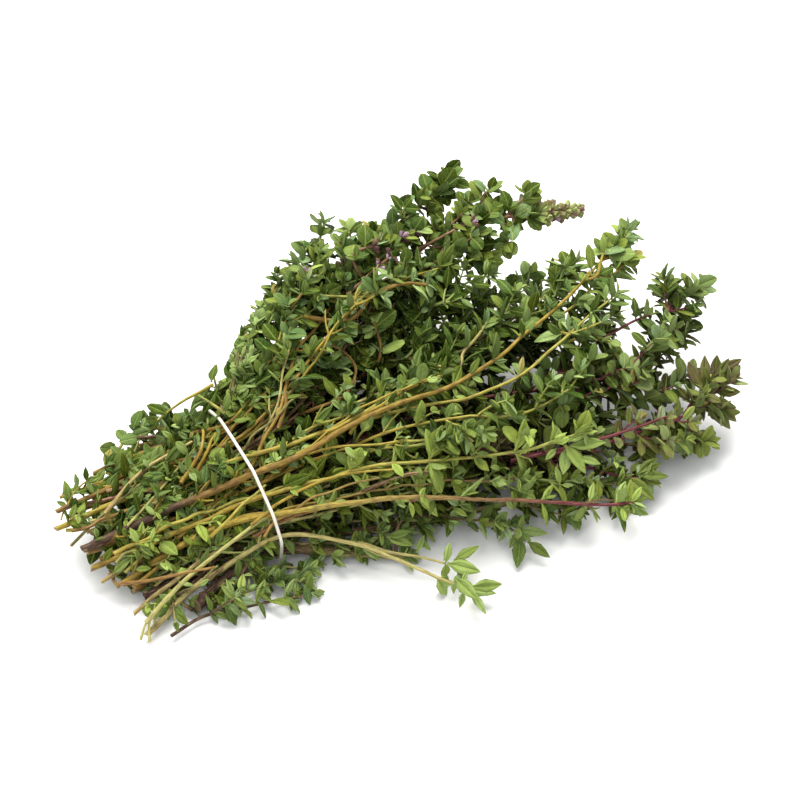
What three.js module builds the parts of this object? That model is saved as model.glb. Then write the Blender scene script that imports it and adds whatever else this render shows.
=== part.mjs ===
// A bunch of cut thyme, held by one rubber band and lying on its side.
// Millimetres, +Z up. X runs from the cut ends to the tips and the band lies in the plane X = 0,
// until the whole bunch is moved so that its own box stands centred on the origin.
import * as THREE from 'three';

// Driving dimensions.
const bandWidth = 1.4;
const bandThickness = 0.8;
const clearance = 0.35;         // kept between pieces that lie against each other
const linkLength = 15.5;        // a stem is a chain of straight links about this long
const fewestLinks = 6;
const stemSides = 4;            // thyme has square stems
const tipRadius = 0.45;         // of every stem at its tip
const stemStop = 0.55;          // links between the end of the stem and the end of its foliage
const boreBeyond = 0.04;        // links by which the bore in the foliage runs past the stem
const foliageSides = 6;
const foliageAtStart = 1.9;     // outer radius where the leaves begin
const foliageAtBand = 2.7;      // outer radius where the band squeezes them
const foliageFree = 4.7;        // outer radius where they stand free
const freeDistance = 40;        // distance from the band at which they stand fully free
const opening = 0.12;           // share of the leafy length over which the foliage widens
const closing = 0.1;            // share of it over which the foliage narrows to the tip
const closingWidth = 0.62;      // share of the radius that is left at the tip
const lobeDepth = 0.24;         // how far a hollow between two leaves goes in, as a share of the radius
const lobeLean = 0.16;          // how far a leaf leans towards the tip, in links
const headRadius = 3.4;         // of a flower head
const headSides = 8;
const settleRounds = 260;
const smoothRounds = 170;       // the rounds in which a push is also spread along the stem
const push = 0.42;              // share of an overlap that one round takes away
const spread = 0.5;             // share of the neighbours' pushes that a node takes over
const discPoints = 16;          // points round each sprig that the band is stretched over
const bandSlack = 0.5;          // between the band and the sprigs it is stretched over
const tiny = 1e-6;

const barks = {
  woody: { color: 0x5d4334, roughness: 0.9 },
  yellow: { color: 0xb9983f, roughness: 0.7 },
  green: { color: 0x8a9440, roughness: 0.7 },
  red: { color: 0x7d4148, roughness: 0.7 },
};
const leafGreens = [0x4f7a33, 0x5f8a3c, 0x42692d, 0x6f9645, 0x557d42];
const flowerLook = { color: 0xb58f9c, roughness: 0.7 };
const bandLook = { color: 0xf2efe6, roughness: 0.45 };

// Each sprig: the points its stem passes from the cut end to the tip, with the one in the band at
// X = 0, the radius of its cut end, its bark, and the share of its length that is bare of leaves.
const sprigs = [
  // the lowest layer, from the near side to the far side
  { route: [[-28, -30, 3], [-11, -23, 5], [0, -23, 5.5], [19, -30, 6], [43, -37, 6], [57, -44, 6],
      [62, -61, 5]],
    radius: 1.7, bark: 'woody', bare: 0.6 },
  { route: [[-39, -21, 4], [0, -16.5, 4.4], [45, -28, 5], [85, -37, 6], [109, -53, 6]],
    radius: 1.5, bark: 'woody', bare: 0.12 },
  { route: [[-41, -18, 4], [0, -9.5, 4.4], [50, -22, 5], [99, -32, 6], [130, -48, 8]],
    radius: 1.0, bark: 'yellow', bare: 0.14 },
  { route: [[-44, -9, 4], [0, -2.5, 4.4], [60, -28, 7], [97, -35, 10], [120, -40, 13], [147, -32, 17]],
    radius: 1.0, bark: 'red', bare: 0.12 },
  { route: [[-40, -1, 4], [0, 4.5, 4.4], [60, -10, 8], [113, -23, 15], [139, -14, 18]],
    radius: 0.9, bark: 'red', bare: 0.1 },
  { route: [[-43, 8, 3], [0, 11.5, 4.4], [60, 8, 6], [100, 8, 9], [128, 8, 12]],
    radius: 1.2, bark: 'woody', bare: 0.12 },
  { route: [[-31, 18, 3], [0, 19, 4.4], [55, 24, 6], [90, 31, 9], [116, 36, 11]],
    radius: 0.9, bark: 'yellow', bare: 0.1 },
  { route: [[-27, 29, 3], [0, 28, 4.4], [45, 38, 5], [75, 48, 6], [93, 56, 8]],
    radius: 1.0, bark: 'yellow', bare: 0.12 },
  // the second layer
  { route: [[-43, -32, 2], [-30, -25, 5], [-8, -20.5, 10], [2, -23, 12], [12, -27, 9.5], [22, -34, 7],
      [32, -47, 6], [43, -68, 4.5]],
    radius: 1.1, bark: 'yellow', bare: 0.6 },
  { route: [[-44, -26, 5], [0, -18, 9.9], [45, -34, 10], [86, -47, 9]],
    radius: 0.9, bark: 'green', bare: 0.1 },
  { route: [[-48, -13, 7], [0, -11, 9.9], [60, -22, 13], [124, -24, 15]],
    radius: 0.9, bark: 'green', bare: 0.14 },
  { route: [[-47, -2, 8], [0, -4, 10], [60, -16, 15], [113, -24, 21], [131, -12, 25], [149, -5, 26]],
    radius: 1.0, bark: 'red', bare: 0.13 },
  { route: [[-45, 6, 8], [0, 3, 9.9], [60, 6, 15], [120, 5, 20]],
    radius: 0.9, bark: 'green', bare: 0.1 },
  { route: [[-38, 14, 8], [0, 10, 9.9], [60, 20, 15], [108, 24, 19]],
    radius: 0.9, bark: 'yellow', bare: 0.1 },
  { route: [[-29, 22, 8], [0, 17, 9.9], [50, 34, 15], [88, 45, 20]],
    radius: 0.9, bark: 'green', bare: 0.1 },
  { route: [[-22, 31, 9], [0, 25, 9.5], [16, 35, 17], [36, 53, 25]],
    radius: 0.9, bark: 'yellow', bare: 0.12 },
  // the third layer
  { route: [[-43, -15, 6], [-22, -15, 10], [0, -21, 14], [30, -28, 15], [62, -43, 12], [98, -60, 8]],
    radius: 1.1, bark: 'yellow', bare: 0.42 },
  { route: [[-49, -8, 8], [-20, -12, 14], [0, -15, 18.5], [33, -26, 24], [64, -38, 26], [94, -42, 26]],
    radius: 1.0, bark: 'yellow', bare: 0.5 },
  { route: [[-48, -4, 11], [0, -9, 16], [40, -18, 24], [80, -28, 28], [99, -17, 30]],
    radius: 0.9, bark: 'yellow', bare: 0.36 },
  { route: [[-46, 6, 10], [0, -4, 15.2], [77, 2, 28], [102, 5, 28], [119, 19, 28]],
    radius: 0.9, bark: 'green', bare: 0.12 },
  { route: [[-43, 12, 11], [0, 3, 15.2], [47, 24, 32], [83, 38, 38], [106, 37, 37], [131, 33, 33]],
    radius: 1.0, bark: 'red', bare: 0.16, headed: true },
  { route: [[-33, 18, 12], [0, 10, 15.2], [33, 22, 31], [62, 37, 40], [84, 49, 42], [98, 56, 42]],
    radius: 1.0, bark: 'woody', bare: 0.2 },
  { route: [[-21, 24, 12], [0, 17, 14.5], [21, 30, 27], [47, 49, 34]],
    radius: 0.9, bark: 'green', bare: 0.14 },
  // the top layer
  { route: [[-49, -4, 11], [-21, -6, 17], [0, -10, 22.5], [35, -16, 29], [69, -16, 32], [106, -1, 35],
      [132, 14, 36]],
    radius: 1.4, bark: 'yellow', bare: 0.66 },
  { route: [[-53, 6, 11], [-12, 1, 18], [0, -4, 22.5], [41, -13, 28], [64, -20, 31], [87, -16, 33],
      [118, -5, 35]],
    radius: 1.1, bark: 'yellow', bare: 0.74 },
  { route: [[-51, 11, 13], [-25, 10, 16], [0, 3, 22.5], [25, 13, 31], [46, 22, 37], [62, 24, 39],
      [79, 23, 40]],
    radius: 1.1, bark: 'yellow', bare: 0.6 },
  { route: [[-37, 19, 13], [-6, 15, 18], [0, 9, 21.8], [16, 15, 29], [31, 24, 34], [55, 57, 40]],
    radius: 1.0, bark: 'yellow', bare: 0.5 },
  { route: [[-23, 22, 13], [0, 14.5, 19.3], [10, 22, 27], [23, 33, 36]],
    radius: 0.9, bark: 'woody', bare: 0.6 },
];

const mix = (a, b, share) => a + (b - a) * share;

// Outer radius of the foliage at a distance from the band and a share of the leafy length.
function foliageRadius(fromBand, share) {
  const free = Math.min(1, Math.abs(fromBand) / freeDistance);
  const swollen = mix(foliageAtBand, foliageFree, free);
  const opened = mix(foliageAtStart, swollen, Math.min(1, share / opening));
  return opened * mix(closingWidth, 1, Math.min(1, (1 - share) / closing));
}

// A sprig as a chain of nodes, with the stations where its leaves begin and end.
function layChain(sprig) {
  const curve = new THREE.CatmullRomCurve3(sprig.route.map((point) => new THREE.Vector3(...point)));
  const links = Math.max(fewestLinks, Math.round(curve.getLength() / linkLength));
  const nodes = curve.getSpacedPoints(links);
  const first = Math.round(sprig.bare * links);
  const last = sprig.headed ? links - 1 : links;
  const chain = { ...sprig, links, nodes, first, last };
  chain.reach = nodes.map((node, station) => reachAt(chain, node.x, station));
  return chain;
}

// How far a sprig reaches from its own centreline at a station.
function reachAt(chain, fromBand, station) {
  if (station > chain.last) return headRadius;
  const share = (station - chain.first) / (chain.last - chain.first);
  return share < 0 ? stemRadius(chain, station) : foliageRadius(fromBand, share);
}

const stemRadius = (chain, station) => mix(chain.radius, tipRadius, station / chain.links);

// The shares along two links at which they come closest.
function closestShares(a0, a1, b0, b1) {
  const alongA = a1.clone().sub(a0);
  const alongB = b1.clone().sub(b0);
  const between = a0.clone().sub(b0);
  const aa = alongA.dot(alongA);
  const bb = alongB.dot(alongB);
  const ab = alongA.dot(alongB);
  const ac = alongA.dot(between);
  const bc = alongB.dot(between);
  const crossing = aa * bb - ab * ab;
  let onA = crossing > tiny ? THREE.MathUtils.clamp((ab * bc - ac * bb) / crossing, 0, 1) : 0;
  const onB = THREE.MathUtils.clamp((ab * onA + bc) / bb, 0, 1);
  onA = THREE.MathUtils.clamp((ab * onB - ac) / aa, 0, 1);
  return [onA, onB];
}

const linkReach = (chain, link) => Math.max(chain.reach[link], chain.reach[link + 1]);

// Pushes two chains apart wherever their links come closer than their reach allows.
function separate(one, other) {
  const a = one.nodes;
  const b = other.nodes;
  for (let i = 0; i < one.links; i++) {
    for (let j = 0; j < other.links; j++) {
      const needed = linkReach(one, i) + linkReach(other, j) + clearance;
      if (a[i].distanceTo(b[j]) > needed + 3 * linkLength) continue;
      const [onA, onB] = closestShares(a[i], a[i + 1], b[j], b[j + 1]);
      const away = a[i].clone().lerp(a[i + 1], onA).sub(b[j].clone().lerp(b[j + 1], onB));
      const distance = away.length();
      if (distance >= needed) continue;
      away.multiplyScalar((push * (needed - distance)) / Math.max(distance, tiny));
      a[i].addScaledVector(away, 1 - onA);
      a[i + 1].addScaledVector(away, onA);
      b[j].addScaledVector(away, onB - 1);
      b[j + 1].addScaledVector(away, -onB);
    }
  }
}

// Keeps a chain above the table, and above the band where that passes under it.
function liftOffTable(chain) {
  chain.nodes.forEach((node, i) => {
    const overBand = Math.abs(node.x) < linkLength ? bandThickness + clearance : 0;
    node.z = Math.max(node.z, chain.reach[i] + overBand);
  });
}

// Spreads the pushes along each stem, so that it bends and doesn't kink.
function spreadPushes(chain, before) {
  const moves = chain.nodes.map((node, i) => node.clone().sub(before[i]));
  for (let i = 1; i < chain.links; i++) {
    const around = moves[i - 1].clone().add(moves[i + 1]).multiplyScalar(0.5);
    chain.nodes[i].copy(before[i]).add(moves[i].clone().lerp(around, spread));
  }
}

function settle(chains) {
  for (let round = 0; round < settleRounds; round++) {
    const before = chains.map((chain) => chain.nodes.map((node) => node.clone()));
    chains.forEach((one, i) => chains.slice(i + 1).forEach((other) => separate(one, other)));
    if (round < smoothRounds) chains.forEach((chain, i) => spreadPushes(chain, before[i]));
    chains.forEach(liftOffTable);
  }
}

// The place and the two cross directions of a chain at a station between its nodes.
function frameAt(chain, station) {
  const lower = Math.min(Math.floor(station), chain.links - 1);
  const share = station - lower;
  const along = directionAt(chain, lower).lerp(directionAt(chain, lower + 1), share);
  const side = new THREE.Vector3(0, 0, 1).cross(along).normalize();
  const up = along.cross(side).normalize();
  return { place: chain.nodes[lower].clone().lerp(chain.nodes[lower + 1], share), side, up };
}

// The direction of a chain at a node, between its two links.
function directionAt(chain, node) {
  const from = chain.nodes[Math.max(0, node - 1)];
  const to = chain.nodes[Math.min(chain.links, node + 1)];
  return to.clone().sub(from).normalize();
}

// Bends a geometry that stands along Y, measured in stations, onto a chain.
function bendOnto(geometry, chain) {
  const { position } = geometry.attributes;
  for (let i = 0; i < position.count; i++) {
    const { place, side, up } = frameAt(chain, position.getY(i));
    place.addScaledVector(side, position.getZ(i)).addScaledVector(up, position.getX(i));
    position.setXYZ(i, place.x, place.y, place.z);
  }
  geometry.computeVertexNormals();
  return geometry;
}

function makeStem(chain) {
  const { links, radius } = chain;
  const geometry = new THREE.CylinderGeometry(tipRadius, radius, links, stemSides, links);
  geometry.translate(0, links / 2, 0);
  const { position } = geometry.attributes;
  const end = chain.last - stemStop;
  for (let i = 0; i < position.count; i++) position.setY(i, Math.min(position.getY(i), end));
  return bendOnto(geometry, chain);
}

// The foliage: a sleeve round the stem, closed over its tip and open towards the cut end.
function makeFoliage(chain) {
  const { first, last } = chain;
  const flats = Math.cos(Math.PI / foliageSides);
  const bore = (station) => (stemRadius(chain, station) + clearance) / flats;
  const stop = last - stemStop + boreBeyond;
  const inner = [new THREE.Vector2(0, stop), new THREE.Vector2(bore(stop), stop)];
  for (let station = last - 1; station >= first; station--) {
    inner.push(new THREE.Vector2(bore(station), station));
  }
  const outer = [];
  for (let station = first; station < last; station += 0.5) {
    const lower = Math.floor(station);
    const reach = mix(chain.reach[lower], chain.reach[lower + 1], station - lower);
    outer.push(new THREE.Vector2(reach, station));
  }
  outer.push(new THREE.Vector2(0, last));
  const profile = [...inner, ...outer];
  const geometry = new THREE.LatheGeometry(profile, foliageSides);
  shapeLeaves(geometry, profile, inner.length);
  return bendOnto(geometry, chain);
}

// Draws in every other corner of each ring, so that the leaves stand out by turns.
function shapeLeaves(geometry, profile, innerCount) {
  const { position } = geometry.attributes;
  for (let side = 0; side <= foliageSides; side++) {
    for (let ring = innerCount + 1; ring < profile.length - 1; ring++) {
      const i = side * profile.length + ring;
      const hollow = (side + ring) % 2 === 0;
      const share = hollow ? 1 - lobeDepth : 1;
      const lean = hollow ? 0 : lobeLean;
      position.setXYZ(i, position.getX(i) * share, position.getY(i) + lean, position.getZ(i) * share);
    }
  }
}

// A flower head: whorls of buds, each narrower than the one before, as shares of width and height.
function makeFlowerHead(chain) {
  const start = chain.last + clearance / linkLength;
  const height = chain.links - start;
  const whorls = [
    [0, 0], [0.55, 0], [1, 0.22], [0.7, 0.36], [0.88, 0.52], [0.55, 0.66], [0.62, 0.8], [0, 1],
  ];
  const profile = whorls.map(([width, share]) =>
    new THREE.Vector2(width * headRadius, start + share * height));
  return bendOnto(new THREE.LatheGeometry(profile, headSides), chain);
}

// Convex outline, as the band takes it, round a set of points in the band's plane.
function stretchRound(points) {
  const sorted = [...points].sort((a, b) => a.x - b.x || a.y - b.y);
  const turn = (o, a, b) => (a.x - o.x) * (b.y - o.y) - (a.y - o.y) * (b.x - o.x);
  const half = (list) => list.reduce((kept, point) => {
    while (kept.length > 1 && turn(kept.at(-2), kept.at(-1), point) <= tiny) kept.pop();
    return [...kept, point];
  }, []);
  return [...half(sorted).slice(0, -1), ...half(sorted.reverse()).slice(0, -1)];
}

// The band's outline at a distance from the sprigs, pressed flat where it lies on the table.
function bandOutline(chains, distance, floor) {
  const discs = chains.flatMap((chain) => {
    const after = chain.nodes.findIndex((node) => node.x > 0);
    const [from, to] = [chain.nodes[after - 1], chain.nodes[after]];
    const share = from.x / (from.x - to.x);
    const centre = from.clone().lerp(to, share);
    const reach = mix(chain.reach[after - 1], chain.reach[after], share) + distance;
    const disc = Array.from({ length: discPoints }, (_, i) => {
      const angle = (2 * Math.PI * (i + 0.5)) / discPoints;
      return new THREE.Vector2(centre.y + reach * Math.cos(angle), centre.z + reach * Math.sin(angle));
    });
    return disc.map((point) => new THREE.Vector2(point.x, Math.max(point.y, floor)));
  });
  return stretchRound(discs);
}

function makeBand(chains) {
  const outline = new THREE.Shape(bandOutline(chains, bandSlack + bandThickness, 0));
  outline.holes.push(new THREE.Path(bandOutline(chains, bandSlack, bandThickness).reverse()));
  const geometry = new THREE.ExtrudeGeometry(outline, { depth: bandWidth, bevelEnabled: false });
  // the outline's plane, XY, becomes YZ
  geometry.translate(0, 0, -bandWidth / 2);
  geometry.applyMatrix4(new THREE.Matrix4().set(0, 0, 1, 0, 1, 0, 0, 0, 0, 1, 0, 0, 0, 0, 0, 1));
  return geometry;
}

function addMesh(group, name, geometry, look) {
  const mesh = new THREE.Mesh(geometry, new THREE.MeshStandardMaterial(look));
  mesh.name = name;
  group.add(mesh);
}

const bunch = new THREE.Group();
const chains = sprigs.map(layChain);
settle(chains);
chains.forEach((chain, i) => {
  const name = `sprig_${String(i + 1).padStart(2, '0')}`;
  addMesh(bunch, `${name}_stem`, makeStem(chain), barks[chain.bark]);
  const leaf = { color: leafGreens[i % leafGreens.length], roughness: 0.6 };
  addMesh(bunch, `${name}_leaves`, makeFoliage(chain), leaf);
});
chains.filter((chain) => chain.headed).forEach((chain, i) => {
  addMesh(bunch, `flower_head_${i + 1}`, makeFlowerHead(chain), flowerLook);
});
addMesh(bunch, 'rubber_band', makeBand(chains), bandLook);

// The origin is the middle of the box's underside.
const box = new THREE.Box3().setFromObject(bunch);
const middle = box.getCenter(new THREE.Vector3());
bunch.position.set(-middle.x, -middle.y, -box.min.z);

export default bunch;
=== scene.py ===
import math
from collections import namedtuple

import bpy
import numpy as np
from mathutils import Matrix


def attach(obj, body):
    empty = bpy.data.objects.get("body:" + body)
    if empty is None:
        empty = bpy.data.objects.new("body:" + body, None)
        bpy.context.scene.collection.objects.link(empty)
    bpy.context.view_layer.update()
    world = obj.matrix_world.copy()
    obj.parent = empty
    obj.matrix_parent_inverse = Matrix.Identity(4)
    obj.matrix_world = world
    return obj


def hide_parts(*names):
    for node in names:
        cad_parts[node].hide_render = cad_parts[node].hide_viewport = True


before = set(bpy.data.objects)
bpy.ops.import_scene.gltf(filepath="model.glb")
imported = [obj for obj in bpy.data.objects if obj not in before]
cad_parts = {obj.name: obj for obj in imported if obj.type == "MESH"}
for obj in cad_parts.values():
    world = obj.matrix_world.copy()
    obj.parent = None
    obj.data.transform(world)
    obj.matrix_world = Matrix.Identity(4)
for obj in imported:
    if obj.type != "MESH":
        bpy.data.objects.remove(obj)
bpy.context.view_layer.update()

mm = 0.001
up = np.array([0.0, 0.0, 1.0])


def unit(vector):
    return vector / np.maximum(np.linalg.norm(vector, axis=-1, keepdims=True), 1e-12)


def mix(start, end, share):
    return start + (end - start) * share


def between(first, second, angle):
    # the direction at this angle from the first towards the second, which stands square to it
    return first * math.cos(angle) + second * math.sin(angle)


def choose(*pieces):
    # selects these pieces and makes the last one the active one
    bpy.ops.object.select_all(action="DESELECT")
    for piece in pieces:
        piece.select_set(True)
        bpy.context.view_layer.objects.active = piece


def towards(azimuth, elevation):
    azimuth, elevation = math.radians(azimuth), math.radians(elevation)
    return np.array([
        math.sin(azimuth) * math.cos(elevation),
        -math.cos(azimuth) * math.cos(elevation),
        math.sin(elevation),
    ])


print("camera, floor and light")

cameraSettings = {
    "target": (0.0042, 0.0087, 0.015),
    "azimuth": -28,
    "elevation": 45,
    "distance": 0.54,
    "lens": 85,
    "sensor": 36,
    "clip": (0.01, 20),
}


def standing(settings):
    # where a camera or light stands and how it is turned to look at its target
    azimuth, elevation = settings["azimuth"], settings["elevation"]
    place = np.array(settings.get("target", (0, 0, 0))) + towards(azimuth, elevation) * settings["distance"]
    turn = (math.radians(90 - elevation), 0, math.radians(azimuth))
    return {"location": place.tolist(), "rotation": turn}


def addCamera(settings):
    bpy.ops.object.camera_add(**standing(settings))
    camera = bpy.context.object
    camera.name = "camera"
    camera.data.lens = settings["lens"]
    camera.data.sensor_width = settings["sensor"]
    camera.data.clip_start, camera.data.clip_end = settings["clip"]
    bpy.context.scene.camera = camera


lightSettings = {
    "sky": (0.97, 0.98, 1.0),
    "skyStrength": 0.74,
    "key": {"azimuth": 162, "elevation": 62, "distance": 1.6, "size": 1.5, "watts": 50,
            "colour": (1.0, 0.97, 0.92)},
    "fill": {"azimuth": -60, "elevation": 50, "distance": 1.8, "size": 1.4, "watts": 7,
             "colour": (0.95, 0.98, 1.0)},
    "exposure": 0.0,
}


def addSoftLight(name, settings):
    bpy.ops.object.light_add(type="AREA", **standing(settings))
    light = bpy.context.object
    light.name = name
    light.data.shape = "DISK"
    light.data.size = settings["size"]
    light.data.energy = settings["watts"]
    light.data.color = settings["colour"]


addCamera(cameraSettings)
addSoftLight("keyLight", lightSettings["key"])
addSoftLight("fillLight", lightSettings["fill"])
world = bpy.data.worlds.new("studio")
world.use_nodes = True
sky = world.node_tree.nodes["Background"]
sky.inputs["Color"].default_value = (*lightSettings["sky"], 1)
sky.inputs["Strength"].default_value = lightSettings["skyStrength"]
bpy.context.scene.world = world
bpy.context.scene.view_settings.view_transform = "Standard"
bpy.context.scene.view_settings.exposure = lightSettings["exposure"]


print("materials")


def newGroup(name, inputs, outputs):
    group = bpy.data.node_groups.new(name, "ShaderNodeTree")
    for kind, sockets in (("INPUT", inputs), ("OUTPUT", outputs)):
        for label, socketType, value in sockets:
            socket = group.interface.new_socket(label, in_out=kind, socket_type=socketType)
            if value is not None:
                socket.default_value = value
    start = group.nodes.new("NodeGroupInput")
    end = group.nodes.new("NodeGroupOutput")
    return group, start, end


def link(tree, source, target):
    tree.links.new(source, target)


def feed(tree, socket, value):
    if isinstance(value, bpy.types.NodeSocket):
        link(tree, value, socket)
    else:
        socket.default_value = value


def calculate(tree, operation, first, second=0.5, third=None, clamp=False):
    node = tree.nodes.new("ShaderNodeMath")
    node.operation, node.use_clamp = operation, clamp
    feed(tree, node.inputs[0], first)
    feed(tree, node.inputs[1], second)
    if third is not None:
        feed(tree, node.inputs[2], third)
    return node.outputs[0]


def mixColour(tree, factor, first, second, blend="MIX"):
    node = tree.nodes.new("ShaderNodeMix")
    node.data_type, node.blend_type = "RGBA", blend
    feed(tree, node.inputs["Factor"], factor)
    feed(tree, node.inputs["A"], first)
    feed(tree, node.inputs["B"], second)
    return node.outputs["Result"]


def spread(tree, value, low, high, outLow=0.0, outHigh=1.0):
    node = tree.nodes.new("ShaderNodeMapRange")
    node.interpolation_type = "SMOOTHSTEP"
    feed(tree, node.inputs["Value"], value)
    for label, number in (("From Min", low), ("From Max", high), ("To Min", outLow), ("To Max", outHigh)):
        node.inputs[label].default_value = number
    return node.outputs["Result"]


def noise(tree, vector, scale, detail=2.0, rough=0.5):
    node = tree.nodes.new("ShaderNodeTexNoise")
    node.inputs["Scale"].default_value = scale
    node.inputs["Detail"].default_value = detail
    node.inputs["Roughness"].default_value = rough
    link(tree, vector, node.inputs["Vector"])
    return node.outputs["Fac"]


def ramp(tree, value, stops):
    node = tree.nodes.new("ShaderNodeValToRGB")
    elements = node.color_ramp.elements
    while len(elements) < len(stops):
        elements.new(0.5)
    for element, (place, colour) in zip(elements, stops):
        element.position, element.color = place, (*colour, 1)
    link(tree, value, node.inputs["Fac"])
    return node.outputs["Color"]


def vary(tree, value, pattern, share, clamp=False):
    # the value, moved up and down by a noise pattern
    return calculate(tree, "MULTIPLY_ADD", calculate(tree, "SUBTRACT", pattern, 0.5), share, value,
                     clamp=clamp)


def tint(tree, colour, mask, target, share=1.0):
    # the colour, moved towards another where the mask is
    if share != 1.0:
        mask = calculate(tree, "MULTIPLY", mask, share)
    return mixColour(tree, mask, colour, (*target, 1) if isinstance(target, tuple) else target)


def objectPlace(tree):
    return tree.nodes.new("ShaderNodeTexCoord").outputs["Object"]


def readAttribute(tree, name):
    node = tree.nodes.new("ShaderNodeAttribute")
    node.attribute_name = name
    return node


def readChannels(tree, name):
    # the red, green, blue and alpha of a colour attribute
    node = readAttribute(tree, name)
    parts = tree.nodes.new("ShaderNodeSeparateColor")
    link(tree, node.outputs["Color"], parts.inputs[0])
    return (*(parts.outputs[label] for label in ("Red", "Green", "Blue")), node.outputs["Alpha"])


def newMaterial(name, constants):
    material = bpy.data.materials.new(name)
    material.use_nodes = True
    shader = material.node_tree.nodes["Principled BSDF"]
    for label, value in constants.items():
        shader.inputs[label].default_value = value
    return material, material.node_tree, shader


def setSurface(tree, shader, colour, pattern, roughness):
    # the colour, and a roughness that goes from the first value to the second with the pattern
    link(tree, colour, shader.inputs["Base Color"])
    link(tree, spread(tree, pattern, 0.3, 0.7, *roughness), shader.inputs["Roughness"])


def addBump(tree, shader, height, strength, distance):
    bump = tree.nodes.new("ShaderNodeBump")
    bump.inputs["Strength"].default_value = strength
    bump.inputs["Distance"].default_value = distance
    link(tree, height, bump.inputs["Height"])
    link(tree, bump.outputs["Normal"], shader.inputs["Normal"])


veinSettings = {
    "midrib": (0.012, 0.075),  # where it fades out, in shares of the blade's width from its middle
    "edge": (0.36, 0.5),
    "vein": 0.16,  # half width of a side vein against the way to the next one
    "lean": -0.9,  # how far a side vein runs forward on its way out
    "count": 5.0,
}


def makeLeafVeins(settings):
    # midrib and side veins from the leaf's own map: U across the blade, V along it
    group, start, end = newGroup(
        "leafVeins",
        [("Map", "NodeSocketVector", None), ("Vein Count", "NodeSocketFloat", settings["count"])],
        [("Midrib", "NodeSocketFloat", None), ("Veins", "NodeSocketFloat", None),
         ("Edge", "NodeSocketFloat", None)],
    )
    parts = group.nodes.new("ShaderNodeSeparateXYZ")
    link(group, start.outputs["Map"], parts.inputs[0])
    across = calculate(group, "ABSOLUTE", calculate(group, "SUBTRACT", parts.outputs["X"], 0.5))
    midrib = spread(group, across, *settings["midrib"], 1.0, 0.0)
    lean = calculate(group, "MULTIPLY_ADD", across, settings["lean"], parts.outputs["Y"])
    phase = calculate(group, "MULTIPLY", lean, start.outputs["Vein Count"])
    wave = calculate(group, "PINGPONG", phase, 0.5)
    veins = spread(group, wave, 0.0, settings["vein"], 1.0, 0.0)
    edge = spread(group, across, *settings["edge"])
    for label, value in (("Midrib", midrib), ("Veins", veins), ("Edge", edge)):
        link(group, value, end.inputs[label])
    return group


leafSettings = {
    # the tone also holds the painted shade of leaves deep in the bunch and the painted light of the
    # outermost ones
    "coolGreens": [  # by tone, from the dull old leaves to the bright young ones
        (0.0, (0.005, 0.015, 0.001)),
        (0.35, (0.034, 0.080, 0.007)),
        (0.7, (0.126, 0.210, 0.076)),
        (1.0, (0.290, 0.400, 0.200)),
    ],
    "warmGreens": [
        (0.0, (0.011, 0.016, 0.001)),
        (0.35, (0.072, 0.096, 0.005)),
        (0.7, (0.205, 0.262, 0.042)),
        (1.0, (0.345, 0.448, 0.098)),
    ],
    "underside": (0.190, 0.260, 0.090),
    "midrib": (0.390, 0.460, 0.120),
    # the dark margin is partly the leaf's own darker rim and partly painted shade of the edges that roll
    # under
    "edge": (0.052, 0.046, 0.014),
    "purple": (0.095, 0.036, 0.040),
    "dry": (0.420, 0.350, 0.100),
    "patches": 260,  # scale of the patches, and how far they change the tone
    "patchShare": 0.45,
    "specks": 2600,
    "speckShare": 0.14,
    "undersideShare": 0.62,  # how far each of these covers the green
    "veinShare": 0.3,
    "midribShare": 0.85,
    "rimAndShadeShare": 0.75,
    "flush": {"start": -0.32, "patches": 1.5, "edge": 1.3},  # where the purple comes first
    "specular": 0.06,
    "roughness": (0.42, 0.62),
    "veinDepth": -0.5,  # against the specks' height
    "midribDepth": -1.2,
    "bump": 0.8,
    "relief": 0.00014,
}


def makeLeafMaterial(settings, veinGroup):
    material, tree, shader = newMaterial("thymeLeaf", {"Specular IOR Level": settings["specular"]})
    # the tone channel holds the leaf's own tone, with painted shade and painted light on it
    tone, purple, under, dry = readChannels(tree, "leafLook")
    uvMap = tree.nodes.new("ShaderNodeUVMap")
    uvMap.uv_map = "leafMap"
    group = tree.nodes.new("ShaderNodeGroup")
    group.node_tree = veinGroup
    link(tree, uvMap.outputs[0], group.inputs["Map"])
    midrib, veins, edge = (group.outputs[label] for label in ("Midrib", "Veins", "Edge"))
    place = objectPlace(tree)
    patches = noise(tree, place, settings["patches"], 3.0, 0.6)
    specks = noise(tree, place, settings["specks"], 1.0)
    shade = vary(tree, tone, patches, settings["patchShare"])
    shade = vary(tree, shade, specks, settings["speckShare"], clamp=True)
    warmth = readAttribute(tree, "leafWarmth").outputs["Fac"]
    colour = mixColour(tree, warmth, ramp(tree, shade, settings["coolGreens"]),
                       ramp(tree, shade, settings["warmGreens"]))
    colour = tint(tree, colour, under, settings["underside"], settings["undersideShare"])
    pale = tint(tree, colour, 0.5, settings["midrib"])
    colour = tint(tree, colour, veins, pale, settings["veinShare"])
    colour = tint(tree, colour, midrib, pale, settings["midribShare"])
    # margins darkened: partly their own rim, partly painted shade
    colour = tint(tree, colour, edge, settings["edge"], settings["rimAndShadeShare"])
    flush = settings["flush"]
    flushed = calculate(tree, "MULTIPLY_ADD", patches, flush["patches"], flush["start"])
    flushed = calculate(tree, "MULTIPLY_ADD", edge, flush["edge"], flushed)
    flushed = calculate(tree, "MULTIPLY", flushed, purple, clamp=True)
    colour = tint(tree, colour, flushed, settings["purple"])
    colour = tint(tree, colour, dry, settings["dry"])
    setSurface(tree, shader, colour, patches, settings["roughness"])
    height = calculate(tree, "MULTIPLY_ADD", veins, settings["veinDepth"], specks)
    height = calculate(tree, "MULTIPLY_ADD", midrib, settings["midribDepth"], height)
    addBump(tree, shader, height, settings["bump"], settings["relief"])
    return material


grainSettings = {
    "stretch": 0.12,  # how much longer the fibres are than wide, as its inverse
    "fibres": (3.4, 3.0, 0.6),  # scale, detail and roughness of the pattern
    "blotches": (0.35, 2.0, 0.55),
}


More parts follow.
